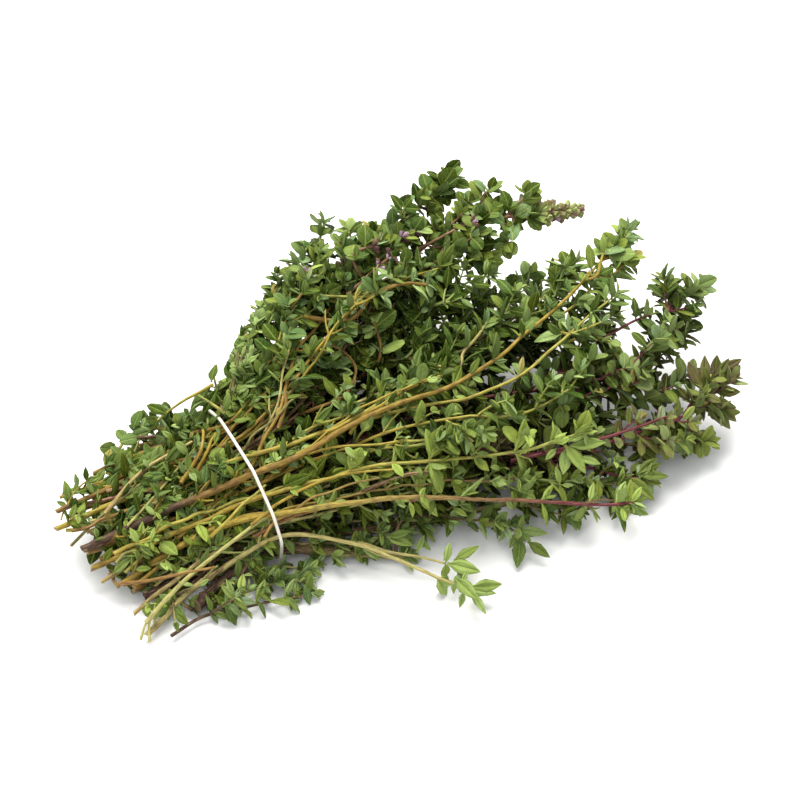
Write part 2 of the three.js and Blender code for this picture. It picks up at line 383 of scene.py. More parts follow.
def makeBarkGrain(settings):
    # fibres that run along the stem; Place is across, across and along it, in millimetres
    group, start, end = newGroup(
        "barkGrain",
        [("Place", "NodeSocketVector", None), ("Stretch", "NodeSocketFloat", settings["stretch"])],
        [("Fibres", "NodeSocketFloat", None), ("Blotches", "NodeSocketFloat", None)],
    )
    parts = group.nodes.new("ShaderNodeSeparateXYZ")
    link(group, start.outputs["Place"], parts.inputs[0])
    along = calculate(group, "MULTIPLY", parts.outputs["Z"], start.outputs["Stretch"])
    joined = group.nodes.new("ShaderNodeCombineXYZ")
    for label, value in (("X", parts.outputs["X"]), ("Y", parts.outputs["Y"]), ("Z", along)):
        link(group, value, joined.inputs[label])
    fibres = noise(group, joined.outputs[0], *settings["fibres"])
    blotches = noise(group, start.outputs["Place"], *settings["blotches"])
    link(group, fibres, end.inputs["Fibres"])
    link(group, blotches, end.inputs["Blotches"])
    return group


stemSettings = {
    # colours from the cut end to the tip, how rough the bark is and how deep its fibres are
    "woody": {"colours": [(0.0, (0.080, 0.046, 0.032)), (0.30, (0.120, 0.070, 0.042)),
                          (0.55, (0.230, 0.150, 0.072)), (0.85, (0.240, 0.230, 0.080))],
              "fibre": (0.340, 0.260, 0.160), "fibreShare": 0.75,
              "rough": 0.85, "relief": 0.00035, "streaks": 0.9},
    "yellow": {"colours": [(0.0, (0.195, 0.112, 0.034)), (0.22, (0.250, 0.160, 0.034)),
                           (0.45, (0.335, 0.240, 0.038)), (0.75, (0.330, 0.300, 0.062)),
                           (1.0, (0.220, 0.265, 0.060))],
               "fibre": (0.430, 0.340, 0.110), "fibreShare": 0.3,
               "rough": 0.55, "relief": 0.00014, "streaks": 0.5},
    "green": {"colours": [(0.0, (0.320, 0.230, 0.090)), (0.25, (0.400, 0.335, 0.125)),
                          (0.6, (0.350, 0.340, 0.110)), (1.0, (0.190, 0.270, 0.070))],
              "fibre": (0.460, 0.440, 0.220), "fibreShare": 0.3,
              "rough": 0.5, "relief": 0.00012, "streaks": 0.45},
    "red": {"colours": [(0.0, (0.290, 0.185, 0.085)), (0.3, (0.280, 0.150, 0.090)),
                        (0.6, (0.190, 0.070, 0.062)), (1.0, (0.140, 0.040, 0.045))],
            "fibre": (0.380, 0.260, 0.190), "fibreShare": 0.3,
            "rough": 0.5, "relief": 0.00012, "streaks": 0.5},
    "flush": (0.150, 0.034, 0.045),
    "wood": (0.075, 0.042, 0.030),
    "cut": (0.200, 0.145, 0.080),
    "blotchShare": 0.6,  # how far blotches change the age
    "grooves": (0.34, 0.62),  # where the fibre pattern goes from dark to light
    "darken": 0.75,
    "lighten": 1.25,
    "fibres": (0.52, 0.78),  # and where it goes on to the fibres' own colour
    "uneven": 0.1,  # of the roughness
    "ringShare": 0.5,  # how dark the leaf scars are
    "specular": 0.14,
    "bump": 0.7,
}


def makeStemMaterial(bark, settings, grainGroup):
    own = settings[bark]
    material, tree, shader = newMaterial(
        "stem" + bark.capitalize(), {"Specular IOR Level": settings["specular"]}
    )
    age, flush, wood, knot = readChannels(tree, "stemLook")
    grain = tree.nodes.new("ShaderNodeGroup")
    grain.node_tree = grainGroup
    link(tree, readAttribute(tree, "grainPlace").outputs["Vector"], grain.inputs["Place"])
    fibres = grain.outputs["Fibres"]
    age = vary(tree, age, grain.outputs["Blotches"], settings["blotchShare"], clamp=True)
    colour = ramp(tree, age, own["colours"])
    colour = tint(tree, colour, flush, settings["flush"])
    colour = tint(tree, colour, wood, settings["wood"])
    darkest = 1.0 - settings["darken"] * own["streaks"]
    dark = spread(tree, fibres, *settings["grooves"], darkest, settings["lighten"])
    colour = mixColour(tree, 1.0, colour, dark, "MULTIPLY")
    pale = spread(tree, fibres, *settings["fibres"], 0.0, own["fibreShare"])
    colour = tint(tree, colour, pale, own["fibre"])
    colour = tint(tree, colour, knot, settings["wood"], settings["ringShare"])
    colour = tint(tree, colour, readAttribute(tree, "cutFace").outputs["Fac"], settings["cut"])
    rough, uneven = own["rough"], settings["uneven"]
    setSurface(tree, shader, colour, fibres, (rough + uneven, rough - uneven))
    addBump(tree, shader, fibres, settings["bump"], own["relief"])
    return material


rubberSettings = {
    "colours": [(0.3, (0.60, 0.55, 0.43)), (0.55, (0.74, 0.70, 0.60)), (0.8, (0.84, 0.81, 0.73))],
    "wear": 420,
    "grain": 2600,
    "specular": 0.45,
    "roughness": (0.6, 0.42),
    "bump": 0.35,
    "relief": 0.00008,
}


def makeBandMaterial(settings):
    material, tree, shader = newMaterial("whiteRubber", {"Specular IOR Level": settings["specular"]})
    place = objectPlace(tree)
    wear = noise(tree, place, settings["wear"], 3.0, 0.6)
    setSurface(tree, shader, ramp(tree, wear, settings["colours"]), wear, settings["roughness"])
    addBump(tree, shader, noise(tree, place, settings["grain"], 2.0), settings["bump"], settings["relief"])
    return material


petalSettings = {
    "calyx": [(0.0, (0.120, 0.040, 0.055)), (0.35, (0.230, 0.130, 0.090)),  # from purple to green
              (0.65, (0.260, 0.270, 0.090)), (1.0, (0.380, 0.420, 0.150))],
    "petal": (0.50, 0.33, 0.43),
    "patches": 700,
    "patchShare": 0.5,
    "grain": 3000,
    "specular": 0.3,
    "sheen": 0.1,
    "roughness": (0.5, 0.75),
    "bump": 0.5,
    "relief": 0.0001,
}


def makeFlowerMaterial(settings):
    # red of the look is the calyx's tone, green is how far it is a petal
    material, tree, shader = newMaterial(
        "thymeFlower", {"Specular IOR Level": settings["specular"], "Sheen Weight": settings["sheen"]}
    )
    tone, petal = readChannels(tree, "leafLook")[:2]
    place = objectPlace(tree)
    patches = noise(tree, place, settings["patches"], 3.0, 0.6)
    shade = vary(tree, tone, patches, settings["patchShare"], clamp=True)
    colour = tint(tree, ramp(tree, shade, settings["calyx"]), petal, settings["petal"])
    setSurface(tree, shader, colour, patches, settings["roughness"])
    addBump(tree, shader, noise(tree, place, settings["grain"], 2.0), settings["bump"], settings["relief"])
    return material


floorSettings = {
    "size": 6,
    "colours": [(0.3, (0.86, 0.86, 0.87)), (0.7, (0.88, 0.88, 0.88))],
    "clouds": 3.0,
    "roughness": 0.9,
    "specular": 0.1,
}


def makeFloorMaterial(settings):
    material, tree, shader = newMaterial(
        "paleFloor", {"Roughness": settings["roughness"], "Specular IOR Level": settings["specular"]}
    )
    clouds = noise(tree, objectPlace(tree), settings["clouds"])
    link(tree, ramp(tree, clouds, settings["colours"]), shader.inputs["Base Color"])
    return material


leafMaterial = makeLeafMaterial(leafSettings, makeLeafVeins(veinSettings))
grainGroup = makeBarkGrain(grainSettings)
stemMaterials = {
    bark: makeStemMaterial(bark, stemSettings, grainGroup) for bark in ("woody", "yellow", "green", "red")
}
bandMaterial = makeBandMaterial(rubberSettings)
flowerMaterial = makeFlowerMaterial(petalSettings)

choose()
bpy.ops.mesh.primitive_plane_add(size=floorSettings["size"])
floor = bpy.context.object
floor.name = "floor"
floor.data.materials.append(makeFloorMaterial(floorSettings))


print("leaf shapes")

leafShapes = {
    # rings from the stalk to the tip: share of the length, half width, thickness
    "oval": [(0.0, 0.045, 0.045), (0.09, 0.060, 0.05), (0.25, 0.215, 0.08), (0.48, 0.280, 0.09),
             (0.75, 0.220, 0.07), (0.93, 0.095, 0.04)],
    "lance": [(0.0, 0.04, 0.04), (0.10, 0.05, 0.05), (0.27, 0.165, 0.07), (0.46, 0.210, 0.08),
              (0.72, 0.145, 0.06), (0.92, 0.052, 0.04)],
    "round": [(0.0, 0.05, 0.05), (0.09, 0.06, 0.05), (0.22, 0.28, 0.08), (0.48, 0.37, 0.09),
              (0.74, 0.29, 0.07), (0.93, 0.13, 0.04)],
    "broad": [(0.0, 0.05, 0.045), (0.09, 0.06, 0.05), (0.23, 0.245, 0.08), (0.48, 0.330, 0.09),
              (0.76, 0.260, 0.07), (0.94, 0.115, 0.04)],
    "young": [(0.0, 0.06, 0.05), (0.28, 0.23, 0.08), (0.56, 0.27, 0.09), (0.86, 0.12, 0.05)],
}
leafSection = {
    # the six corners of a blade cut across, against its half width and its thickness
    "groove": 0.3,  # height over the midrib
    "keel": -0.6,
    "ridge": (0.54, 0.85),
    "edge": (1.0, 0.0),
}


def editAll():
    # into edit mode, with everything selected
    bpy.ops.object.mode_set(mode="EDIT")
    bpy.ops.mesh.select_all(action="SELECT")


def turnOutwards():
    # every face is turned outwards, and edit mode is left
    bpy.ops.mesh.select_all(action="SELECT")
    bpy.ops.mesh.normals_make_consistent(inside=False)
    bpy.ops.object.mode_set(mode="OBJECT")


def startRing(radius):
    # six-sided, across the Y axis
    choose()
    bpy.ops.mesh.primitive_circle_add(vertices=6, radius=radius, fill_type="NGON",
                                      rotation=(math.pi / 2, 0, 0))
    bpy.ops.object.transform_apply(location=False, rotation=True, scale=False)
    return bpy.context.object


def extrudeRing(place, nextPlace, wider=None, thicker=None):
    # on along Y, and resized there
    bpy.ops.mesh.extrude_region_move(TRANSFORM_OT_translate={"value": (0, nextPlace - place, 0)})
    if wider:
        bpy.ops.transform.resize(value=(wider, 1, thicker), center_override=(0, nextPlace, 0))


def modelLeaf(rings):
    # a ring at the stalk, extruded and resized ring by ring to the tip
    leaf = startRing(1)
    share, half, thick = rings[0]
    for vertex in leaf.data.vertices:
        x, z = vertex.co.x, vertex.co.z
        if abs(x) < 0.1:
            vertex.co.z = leafSection["groove" if z > 0 else "keel"]
        else:
            wide, high = leafSection["edge" if z < 0 else "ridge"]
            vertex.co.x, vertex.co.z = math.copysign(wide, x), high
        vertex.co.x *= half
        vertex.co.z *= thick
    editAll()
    for nextShare, nextHalf, nextThick in rings[1:]:
        extrudeRing(share, nextShare, nextHalf / half, nextThick / thick)
        share, half, thick = nextShare, nextHalf, nextThick
    extrudeRing(share, 1)
    bpy.ops.mesh.merge(type="CENTER")
    turnOutwards()
    return leaf


def verticesOf(mesh):
    points = np.zeros(len(mesh.vertices) * 3)
    mesh.vertices.foreach_get("co", points)
    return points.reshape(-1, 3)


def takeShape(source):
    # an object's mesh as arrays
    mesh = source.data
    points = verticesOf(mesh)
    corners = np.zeros(len(mesh.loops), int)
    mesh.loops.foreach_get("vertex_index", corners)
    totals = np.zeros(len(mesh.polygons), int)
    mesh.polygons.foreach_get("loop_total", totals)
    bpy.data.objects.remove(source)
    owners = np.repeat(np.arange(len(totals)), totals)
    return {"points": points, "corners": corners, "totals": totals, "owners": owners}


def leafFacts(shape):
    # which faces are the underside, and where each corner is on the blade
    points, corners = shape["points"], shape["corners"]
    middles = np.array([points[corners[shape["owners"] == face]].mean(0)
                        for face in range(len(shape["totals"]))])
    half = max(points[:, 0])
    shape["under"] = (middles[:, 2] < -0.001).astype(float)
    shape["map"] = np.stack([0.5 + points[corners, 0] / (2 * half), points[corners, 1]], 1)
    return shape


calyxSettings = {
    # shares of its length; each ring's size is a factor of the one before
    "stalk": 0.10,
    "rings": ((0.15, 2.1), (0.45, 1.25), (0.75, 1.05), (1.0, 0.9)),
    "mouthDepth": 0.25,
    "mouth": 0.45,
}


def modelCalyx(settings):
    # a small bell, hollow at the mouth
    calyx = startRing(settings["stalk"])
    editAll()
    place = 0.0
    for nextPlace, factor in (*settings["rings"], (1.0 - settings["mouthDepth"], settings["mouth"])):
        extrudeRing(place, nextPlace, factor, factor)
        place = nextPlace
    turnOutwards()
    return calyx


shapes = {name: leafFacts(takeShape(modelLeaf(rings))) for name, rings in leafShapes.items()}
shapes["calyx"] = leafFacts(takeShape(modelCalyx(calyxSettings)))
print("leaf faces", {name: len(shape["totals"]) for name, shape in shapes.items()})

Leaf = namedtuple(
    "Leaf", "shape base axis normal length width curl fold twist tone purple dry free warm",
    defaults=(1.0, 0.0, 0.0, 0.0, 0.4, 0.0, 0.0, False, 0.5),
)


class Foliage:
    # the leaves of one piece, kept as numbers until its mesh is made
    def __init__(self):
        self.leaves = []
        self.single = []  # leaves that stay whatever is in front of or behind them

    def add(self, *place, **look):
        self.leaves.append(Leaf(*place, **look))


def columnOf(leaves, name):
    return np.array([getattr(leaf, name) for leaf in leaves], float)


def bendLeaves(shape, leaves):
    # every leaf of one shape at once: folded along its midrib, twisted, curled and put in place
    length, width, curl, fold, twist = (
        columnOf(leaves, name)[:, None] for name in ("length", "width", "curl", "fold", "twist")
    )
    points = shape["points"]
    x = points[None, :, 0] * width
    y = points[None, :, 1] + 0 * width
    z = points[None, :, 2] + np.abs(x) * np.tan(fold)
    angle = twist * y
    x, z = x * np.cos(angle) - z * np.sin(angle), x * np.sin(angle) + z * np.cos(angle)
    rate = np.where(np.abs(curl) < 1e-4, 1e-4, curl)
    turned = rate * y
    along = np.sin(turned) / rate + z * np.sin(turned)
    rise = (np.cos(turned) - 1) / rate + z * np.cos(turned)
    axis = unit(columnOf(leaves, "axis"))
    normal = columnOf(leaves, "normal")
    normal = unit(normal - axis * (normal * axis).sum(1, keepdims=True))
    side = np.cross(axis, normal)
    return columnOf(leaves, "base")[:, None, :] + length[:, :, None] * mm * (
        x[:, :, None] * side[:, None, :] + along[:, :, None] * axis[:, None, :]
        + rise[:, :, None] * normal[:, None, :]
    )


def addAttribute(mesh, name, kind, domain, field, values):
    attribute = mesh.attributes.new(name, kind, domain)
    attribute.data.foreach_set(field, values.astype(np.float32).ravel())


def joinCopies(name, copies, material):
    # copies: shape, points of every copy, look of every copy and how warm its green is
    points, corners, totals, maps, looks, warms = [], [], [], [], [], []
    offset = 0
    for shape, places, look, warm in copies:
        count, size = places.shape[:2]
        points.append(places.reshape(-1, 3))
        shift = offset + np.arange(count)[:, None] * size
        corners.append((shape["corners"][None, :] + shift).ravel())
        totals.append(np.tile(shape["totals"], count))
        maps.append(np.tile(shape["map"], (count, 1)))
        perCorner = np.repeat(look, len(shape["corners"]), axis=0)
        perCorner[:, 2] = np.tile(shape["under"][shape["owners"]], count)
        looks.append(perCorner)
        warms.append(np.repeat(warm, len(shape["corners"])))
        offset += count * size
    points, corners, totals = np.concatenate(points), np.concatenate(corners), np.concatenate(totals)
    mesh = bpy.data.meshes.new(name)
    mesh.vertices.add(len(points))
    mesh.loops.add(len(corners))
    mesh.polygons.add(len(totals))
    mesh.vertices.foreach_set("co", points.astype(np.float32).ravel())
    mesh.loops.foreach_set("vertex_index", corners.astype(np.int32))
    mesh.polygons.foreach_set("loop_start", (np.cumsum(totals) - totals).astype(np.int32))
    mesh.polygons.foreach_set("use_smooth", np.ones(len(totals), bool))
    mesh.update(calc_edges=True)
    uvMap = mesh.uv_layers.new(name="leafMap")
    uvMap.data.foreach_set("uv", np.concatenate(maps).astype(np.float32).ravel())
    addAttribute(mesh, "leafLook", "FLOAT_COLOR", "CORNER", "color", np.concatenate(looks))
    addAttribute(mesh, "leafWarmth", "FLOAT", "CORNER", "value", np.concatenate(warms))
    mesh.validate()
    piece = bpy.data.objects.new(name, mesh)
    bpy.context.collection.objects.link(piece)
    mesh.materials.append(material)
    return piece


print("centre lines")


def meshPoints(node):
    return np.unique(verticesOf(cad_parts[node].data).round(7), axis=0)


def ringsOf(node, reach=0.004):
    # a CAD tube's rings, in order from the cut end, with their radii
    points = meshPoints(node)
    points = points[np.argsort(points[:, 0])]
    centres, radii = [], []
    left = np.ones(len(points), bool)
    while left.any():
        first = points[left][0]
        near = left & (np.linalg.norm(points - first, axis=1) < reach)
        ring = points[near]
        centre = (ring.min(0) + ring.max(0)) / 2 if len(ring) < 4 else ring.mean(0)
        centres.append(centre)
        radii.append(np.linalg.norm(ring - centre, axis=1).max())
        left &= ~near
    order = np.argsort([centre[0] for centre in centres])
    return np.array(centres)[order], np.array(radii)[order]


def smoothLine(points, step=0.0012, fineness=24):
    # a Catmull-Rom line through the points, in even steps
    points = np.asarray(points, float)
    padded = np.vstack([2 * points[0] - points[1], points, 2 * points[-1] - points[-2]])
    pieces = []
    for index in range(len(points) - 1):
        a, b, c, d = padded[index:index + 4]
        t = np.linspace(0, 1, fineness, endpoint=False)[:, None]
        pieces.append(0.5 * (2 * b + (c - a) * t + (2 * a - 5 * b + 4 * c - d) * t ** 2
                             + (3 * b - a - 3 * c + d) * t ** 3))
    fine = np.vstack([*pieces, points[-1:]])
    travelled = np.concatenate([[0], np.cumsum(np.linalg.norm(np.diff(fine, axis=0), axis=1))])
    count = max(4, int(round(travelled[-1] / step)) + 1)
    at = np.linspace(0, travelled[-1], count)
    return np.stack([np.interp(at, travelled, fine[:, axis]) for axis in range(3)], 1)


class Line:
    # a line with its distances, tangents and a frame carried along it
    def __init__(self, points):
        self.points = points
        steps = np.linalg.norm(np.diff(points, axis=0), axis=1)
        self.far = np.concatenate([[0], np.cumsum(steps)])
        self.length = self.far[-1]
        self.tangents = unit(np.gradient(points, axis=0))
        side = np.cross(self.tangents[0], up)
        if np.linalg.norm(side) < 0.05:
            side = np.array([0.0, 1.0, 0.0])
        normal = unit(np.cross(side, self.tangents[0]))
        normals = [normal]
        for tangent in self.tangents[1:]:
            normal = unit(normal - tangent * (normal @ tangent))
            normals.append(normal)
        self.normals = np.array(normals)
        self.sides = np.cross(self.tangents, self.normals)

    def at(self, distance):
        index = min(max(np.searchsorted(self.far, distance), 1), len(self.far) - 1)
        share = (distance - self.far[index - 1]) / max(self.far[index] - self.far[index - 1], 1e-9)
        point = mix(self.points[index - 1], self.points[index], share)
        return point, self.tangents[index], self.normals[index], self.sides[index]


bandNode = meshPoints("rubber_band")
bandLow, bandHigh = bandNode.min(0), bandNode.max(0)
bandCentre = (bandLow + bandHigh) / 2
bandX = bandCentre[0]
bandHalf = (bandHigh[0] - bandLow[0]) / 2


def hullOf(points):
    # the corners of the smallest convex outline round 2-D points, anticlockwise
    points = sorted({(round(float(a), 7), round(float(b), 7)) for a, b in points})

    def half(row):
        chain = []
        for point in row:
            while len(chain) > 1 and (
                (chain[-1][0] - chain[-2][0]) * (point[1] - chain[-2][1])
                - (chain[-1][1] - chain[-2][1]) * (point[0] - chain[-2][0])
            ) <= 0:
                chain.pop()
            chain.append(point)
        return chain[:-1]

    return np.array(half(points) + half(points[::-1]))


bandOutline = hullOf(bandNode[:, 1:])
holdSettings = {
    # how the band holds what goes through it, in mm
    "thickness": 0.8,
    "play": 0.3,  # past the band's edges and round a stem
    "stemSlope": 0.45,  # how steeply a stem may rise beside the band
    "leafSlope": 1.1,
    "leafPlay": 0.25,  # between a leaf and the band or the floor
    "deepest": 6,  # that a leaf is pushed in
}
bandThickness = holdSettings["thickness"] * mm


def roomUnderBand(offsets):
    # how far from the band's centre its inner face is, towards each offset across the bunch
    corners = bandOutline - bandCentre[1:]
    rim = np.vstack([corners, corners[:1]])
    fine = np.vstack([mix(a, b, np.linspace(0, 1, 12, endpoint=False)[:, None])
                      for a, b in zip(rim[:-1], rim[1:])])
    rimAngles = np.arctan2(fine[:, 1], fine[:, 0])
    order = np.argsort(rimAngles)
    distance = np.linalg.norm(fine, axis=1)
    angles = np.arctan2(offsets[..., 1], offsets[..., 0])
    return np.interp(angles, rimAngles[order], distance[order], period=2 * math.pi) - bandThickness


def pastBand(points, slope):
    # how far each point is outside the room under the band, which widens beside it
    beside = np.maximum(np.abs(points[..., 0] - bandX) - bandHalf - holdSettings["play"] * mm, 0)
    offsets = points[..., 1:] - bandCentre[1:]
    return offsets, np.linalg.norm(offsets, axis=-1) - roomUnderBand(offsets), beside * slope


def holdStem(points, radius):
    # a stem that would cross the band is bent in under it
    offsets, outside, beside = pastBand(points, holdSettings["stemSlope"])
    excess = np.maximum(outside + radius + holdSettings["play"] * mm - beside, 0)
    points = points.copy()
    points[:, 1:] -= unit(offsets) * excess[:, None]
    return points


def pressLeaves(places, free):
    # leaves that cross the band are pushed in under it, and none goes through the floor
    play = holdSettings["leafPlay"] * mm
    offsets, outside, beside = pastBand(places, holdSettings["leafSlope"])
    excess = (outside + play - beside).max(1)
    excess = np.where(free, 0, np.clip(excess, 0, holdSettings["deepest"] * mm))
    places[:, :, 1:] -= (unit(offsets.mean(1)) * excess[:, None])[:, None, :]
    places[:, :, 2] += np.maximum(play - places[:, :, 2].min(1), 0)[:, None]
    return places


def makeFoliagePiece(name, foliage, material):
    copies = []
    for shapeName, shape in shapes.items():
        leaves = [leaf for leaf in foliage.leaves if leaf.shape == shapeName]
        if not leaves:
            continue
        places = pressLeaves(bendLeaves(shape, leaves), columnOf(leaves, "free"))
        look = np.zeros((len(leaves), 4))
        for channel, field in ((0, "tone"), (1, "purple"), (3, "dry")):
            look[:, channel] = columnOf(leaves, field)
        copies.append((shape, places, look, columnOf(leaves, "warm")))
    return joinCopies(name, copies, material)


flowerSettings = {
    # the flower head
    "calyx": 3.3,  # length in mm
    "whorls": 7,
    "perWhorl": 11,
    "short": 3.4,  # mm between the last whorl and the head's end
    "core": 0.7,  # mm from the middle to the foot of a calyx
    "open": (78, 26),  # degrees that a calyx leans out, in the first and the last whorl
    "unevenOpen": 16,
    "unevenRoll": (-0.2, 0.2),  # against the way to the next calyx
    "along": (-0.9, 0.9),  # mm
    "smaller": 0.72,  # calyces of the last whorl against the first
    "sizes": (0.85, 1.15),
    "tone": (0.2, 1.0),
    "petals": 0.03,  # share of them that show a petal
    "seed": 41,
    # the small whorls among the leaves
    "loose": 1.9,
    "perLoose": 7,
    "looseRoll": (-0.3, 0.3),
    "looseOpen": (35, 75),
    "looseCore": 0.5,
    "looseAlong": (-0.6, 0.6),
    "looseSizes": (0.8, 1.2),
    "looseTone": (0.0, 0.5),
    "loosePetals": 0.5,
}
blossom = Foliage()


def addWhorl(rng, line, back, settings=flowerSettings):
    # a ring of small flowers round a twig
    point, tangent, normal, side = line.at(max(line.length - back, 0))
    count = settings["perLoose"]
    for index in range(count):
        radial = between(normal, side, 2 * math.pi * (index + rng.uniform(*settings["looseRoll"])) / count)
        axis = between(tangent, radial, math.radians(rng.uniform(*settings["looseOpen"])))
        base = point + radial * settings["looseCore"] * mm
        base = base + tangent * rng.uniform(*settings["looseAlong"]) * mm
        blossom.add("calyx", base, axis, tangent, settings["loose"] * rng.uniform(*settings["looseSizes"]),
                    tone=rng.uniform(*settings["looseTone"]),
                    purple=float(rng.random() < settings["loosePetals"]))


growthSettings = {
    "leaf": 7.4,  # length of a full-grown leaf in mm
    "shape": "oval",
    "tone": 0.42,
    "toneSpread": 0.18,
    "tipTone": 0.12,  # how much brighter the tip is
    "purple": 0.0,
    "warm": 0.45,  # from deep green to yellow-green
    "spacing": 6.8,  # mm between pairs on the older part
    "tipSpacing": 1.9,  # and at the tip
    "tipLeaf": 0.92,  # leaves at the tip against the others
    "angle": 60,  # degrees between leaf and stem
    "tipAngle": 50,
    "facing": 1.15,  # how far the blades turn towards the light
    "tuft": 0.85,  # chance of a tuft of young leaves in a leaf's axil
    "branch": 0.55,  # chance of a side shoot there
    "branchLength": (5, 13),
    "shootSpacing": 3.0,  # mm between the pairs of a side shoot
    "head": 5,  # pairs of leaves that crowd at the tip
    "shootHead": 2,
    "missing": 0.05,  # share of leaves that have dropped
    "open": 0.5,  # share more of them on the upper side of the older part
    "dry": 0.005,  # share of leaves that have dried
    "flush": 0.0,  # red in the stem towards the tip
    "wood": 0.0,  # mm of dark wood at the cut end
    "behind": 0.85,  # chance of leaves at each step behind the band
    "sparse": 0.18,  # and on the bare part past it
    "thin": 0.64,  # thickness of the stem against the CAD's
    "oldFrom": 0.0,  # how young the stem's colour is at the cut end
    "oldTo": 1.0,  # and by its tip
    "companions": 2,  # thinner stems from the same root
    "reach": (34, 80),  # mm that they go on past the band
    "leafyEnd": (8, 20),  # mm of them that are in leaf
    "sink": 0.0,  # how far they hang under the first stem
    "trim": 0.0,  # mm of the tip that are left out
    "lift": 0.0,  # mm that the stem rises towards its tip, over the CAD's
    "show": 0.0,  # share of the leaves in front of the stem that are taken away
    "showFrom": 0.3,  # from this share of its length
    "showTo": 1.0,  # to this one
    "cut": False,  # whether a side shoot begins at a cut end, not on its sprig
    "free": False,  # whether it lies over the band, not under it
}
leafSpread = {
    # how leaves differ from each other
    "width": (0.88, 1.18),
    "curl": (-0.2, 0.75),
    "fold": (-6, 20),  # degrees
    "twist": (-0.5, 0.5),
    "turn": 0.26,
    "lean": 0.10,
    "purple": (0.3, 1.2),
    "warmer": 0.08,
    "warm": 0.27,
    "dried": 0.8,  # how dry a dry leaf is
    "brightest": 1.1,
}
bladeSpread = {
    # the same for single leaves
    "width": (0.9, 1.15),
    "curl": (-0.1, 0.4),
    "fold": (4, 20),
    "twist": (-0.3, 0.3),
    "turn": 0.28,
    "tone": 0.08,
    "purple": (0.8, 1.2),
    "warm": (-0.15, 0.15),
    "facing": (0.6, 0.8),  # how far they turn up, and to the front
}
tuftSettings = {
    "lean": (28, 48),  # degrees from the stem
    "start": 0.5,  # mm to the first pair, and from each pair to the next
    "step": 1.0,
    "pairs": 2,
    "angle": (28, 55),
    "leaf": 0.66,  # against the sprig's own
    "size": 0.95,  # of the first pair, and what the next one loses
    "smaller": 0.22,
    "sizes": (0.8, 1.15),
    "brighter": 0.10,
}
headSettings = {
    # from the outermost pair to the innermost one
    "step": 0.11,  # way between the pairs, against the length of the leaves
    "angle": (74, 26),
    "size": (1.0, 0.6),
    "sizes": (0.85, 1.1),
    "brighter": 0.1,
    "youngFrom": 0.75,
    "unevenRoll": 0.14,
    "unevenTurn": 0.15,
    "unevenAngle": 6,
}
# on a stem or a long shoot, and on a short side shoot: mm over which the tip's leaves stand close
# together, and sizes against the sprig's own
stemForm = {"crown": 11, "tipSpacing": 1.0, "head": 1.0, "leaf": 1.0}
twigForm = {"crown": 4, "tipSpacing": 0.65, "head": 0.8, "leaf": 0.84}
pairSettings = {
    "foot": 0.7,  # share of the stem's radius at which a leaf begins
    "unevenRoll": 0.16,
    "unevenTurn": 0.12,
    "unevenAngle": 9,
    "sizes": (0.8, 1.15),
    "steps": (0.85, 1.15),
    "closing": 1.5,  # power by which leaves close up towards the tip
    # mm from the tip
    "openFrom": 24,
    "branchFrom": 11,
    "tuftFrom": 3,
    "besideBand": 2.2,  # mm to each side, where nothing but leaves grows
}
branchSettings = {
    "shorter": 0.7,  # length by the tip, against that at the root
    "lift": 0.35,  # how far it turns up, and how far where it lies under the low mark
    "lowLift": 0.9,
    "low": 8,  # mm
    "lean": (42, 62),
    "straighten": 0.55,  # lean at the end, against that at the start
    "uneven": 0.16,
    "aboveFloor": 1.0,
    "radius": (0.30, 0.40),
    "taper": 0.6,
}
lightSide = unit(np.array([-0.22, -0.50, 1.0]))  # where the blades turn to
viewSide = towards(cameraSettings["azimuth"], cameraSettings["elevation"])


def directions(line, distance, roll):
    point, tangent, normal, side = line.at(distance)
    return point, tangent, between(normal, side, roll)


def ownForm(rng, spread):
    return {
        "width": rng.uniform(*spread["width"]),
        "curl": rng.uniform(*spread["curl"]),
        "fold": math.radians(rng.uniform(*spread["fold"])),
        "twist": rng.uniform(*spread["twist"]),
    }


def addLeaf(foliage, rng, look, base, tangent, radial, angle, length, tone, shape=None):
    lean = math.radians(angle)
    axis = between(tangent, radial, lean)
    normal = tangent * math.sin(lean) - radial * math.cos(lean)
    normal = unit(normal + look["facing"] * lightSide + rng.normal(0, leafSpread["turn"], 3))
    axis = unit(axis + rng.normal(0, leafSpread["lean"], 3))
    dry = leafSpread["dried"] if rng.random() < look["dry"] else 0.0
    foliage.add(
        shape or look["shape"], base, axis, normal, length,
        **ownForm(rng, leafSpread),
        tone=min(leafSpread["brightest"], max(0.0, tone + rng.normal(0, look["toneSpread"]))),
        purple=look["purple"] * rng.uniform(*leafSpread["purple"]),
        warm=min(1.0, max(0.0, look["warm"] + leafSpread["warmer"] + rng.normal(0, leafSpread["warm"]))),
        dry=dry,
        free=look["free"],
    )


def addBlades(foliage, rng, look):
    # single leaves, each from its foot to its tip, that show their upper side to the front
    toUp, toFront = bladeSpread["facing"]
    for row in look["blades"]:
        base, end = np.array(row[:3]) * mm, np.array(row[3:]) * mm
        normal = unit(toUp * up + toFront * viewSide + rng.normal(0, bladeSpread["turn"], 3))
        foliage.add(
            look["bladeShape"], base, unit(end - base), normal, np.linalg.norm(end - base) / mm,
            **ownForm(rng, bladeSpread),
            tone=look["tone"] + rng.normal(0, bladeSpread["tone"]),
            purple=look["purple"] * rng.uniform(*bladeSpread["purple"]),
            warm=min(1.0, look["warm"] + rng.uniform(*bladeSpread["warm"])),
            free=look["free"],
        )
        foliage.single.append(foliage.leaves.pop())


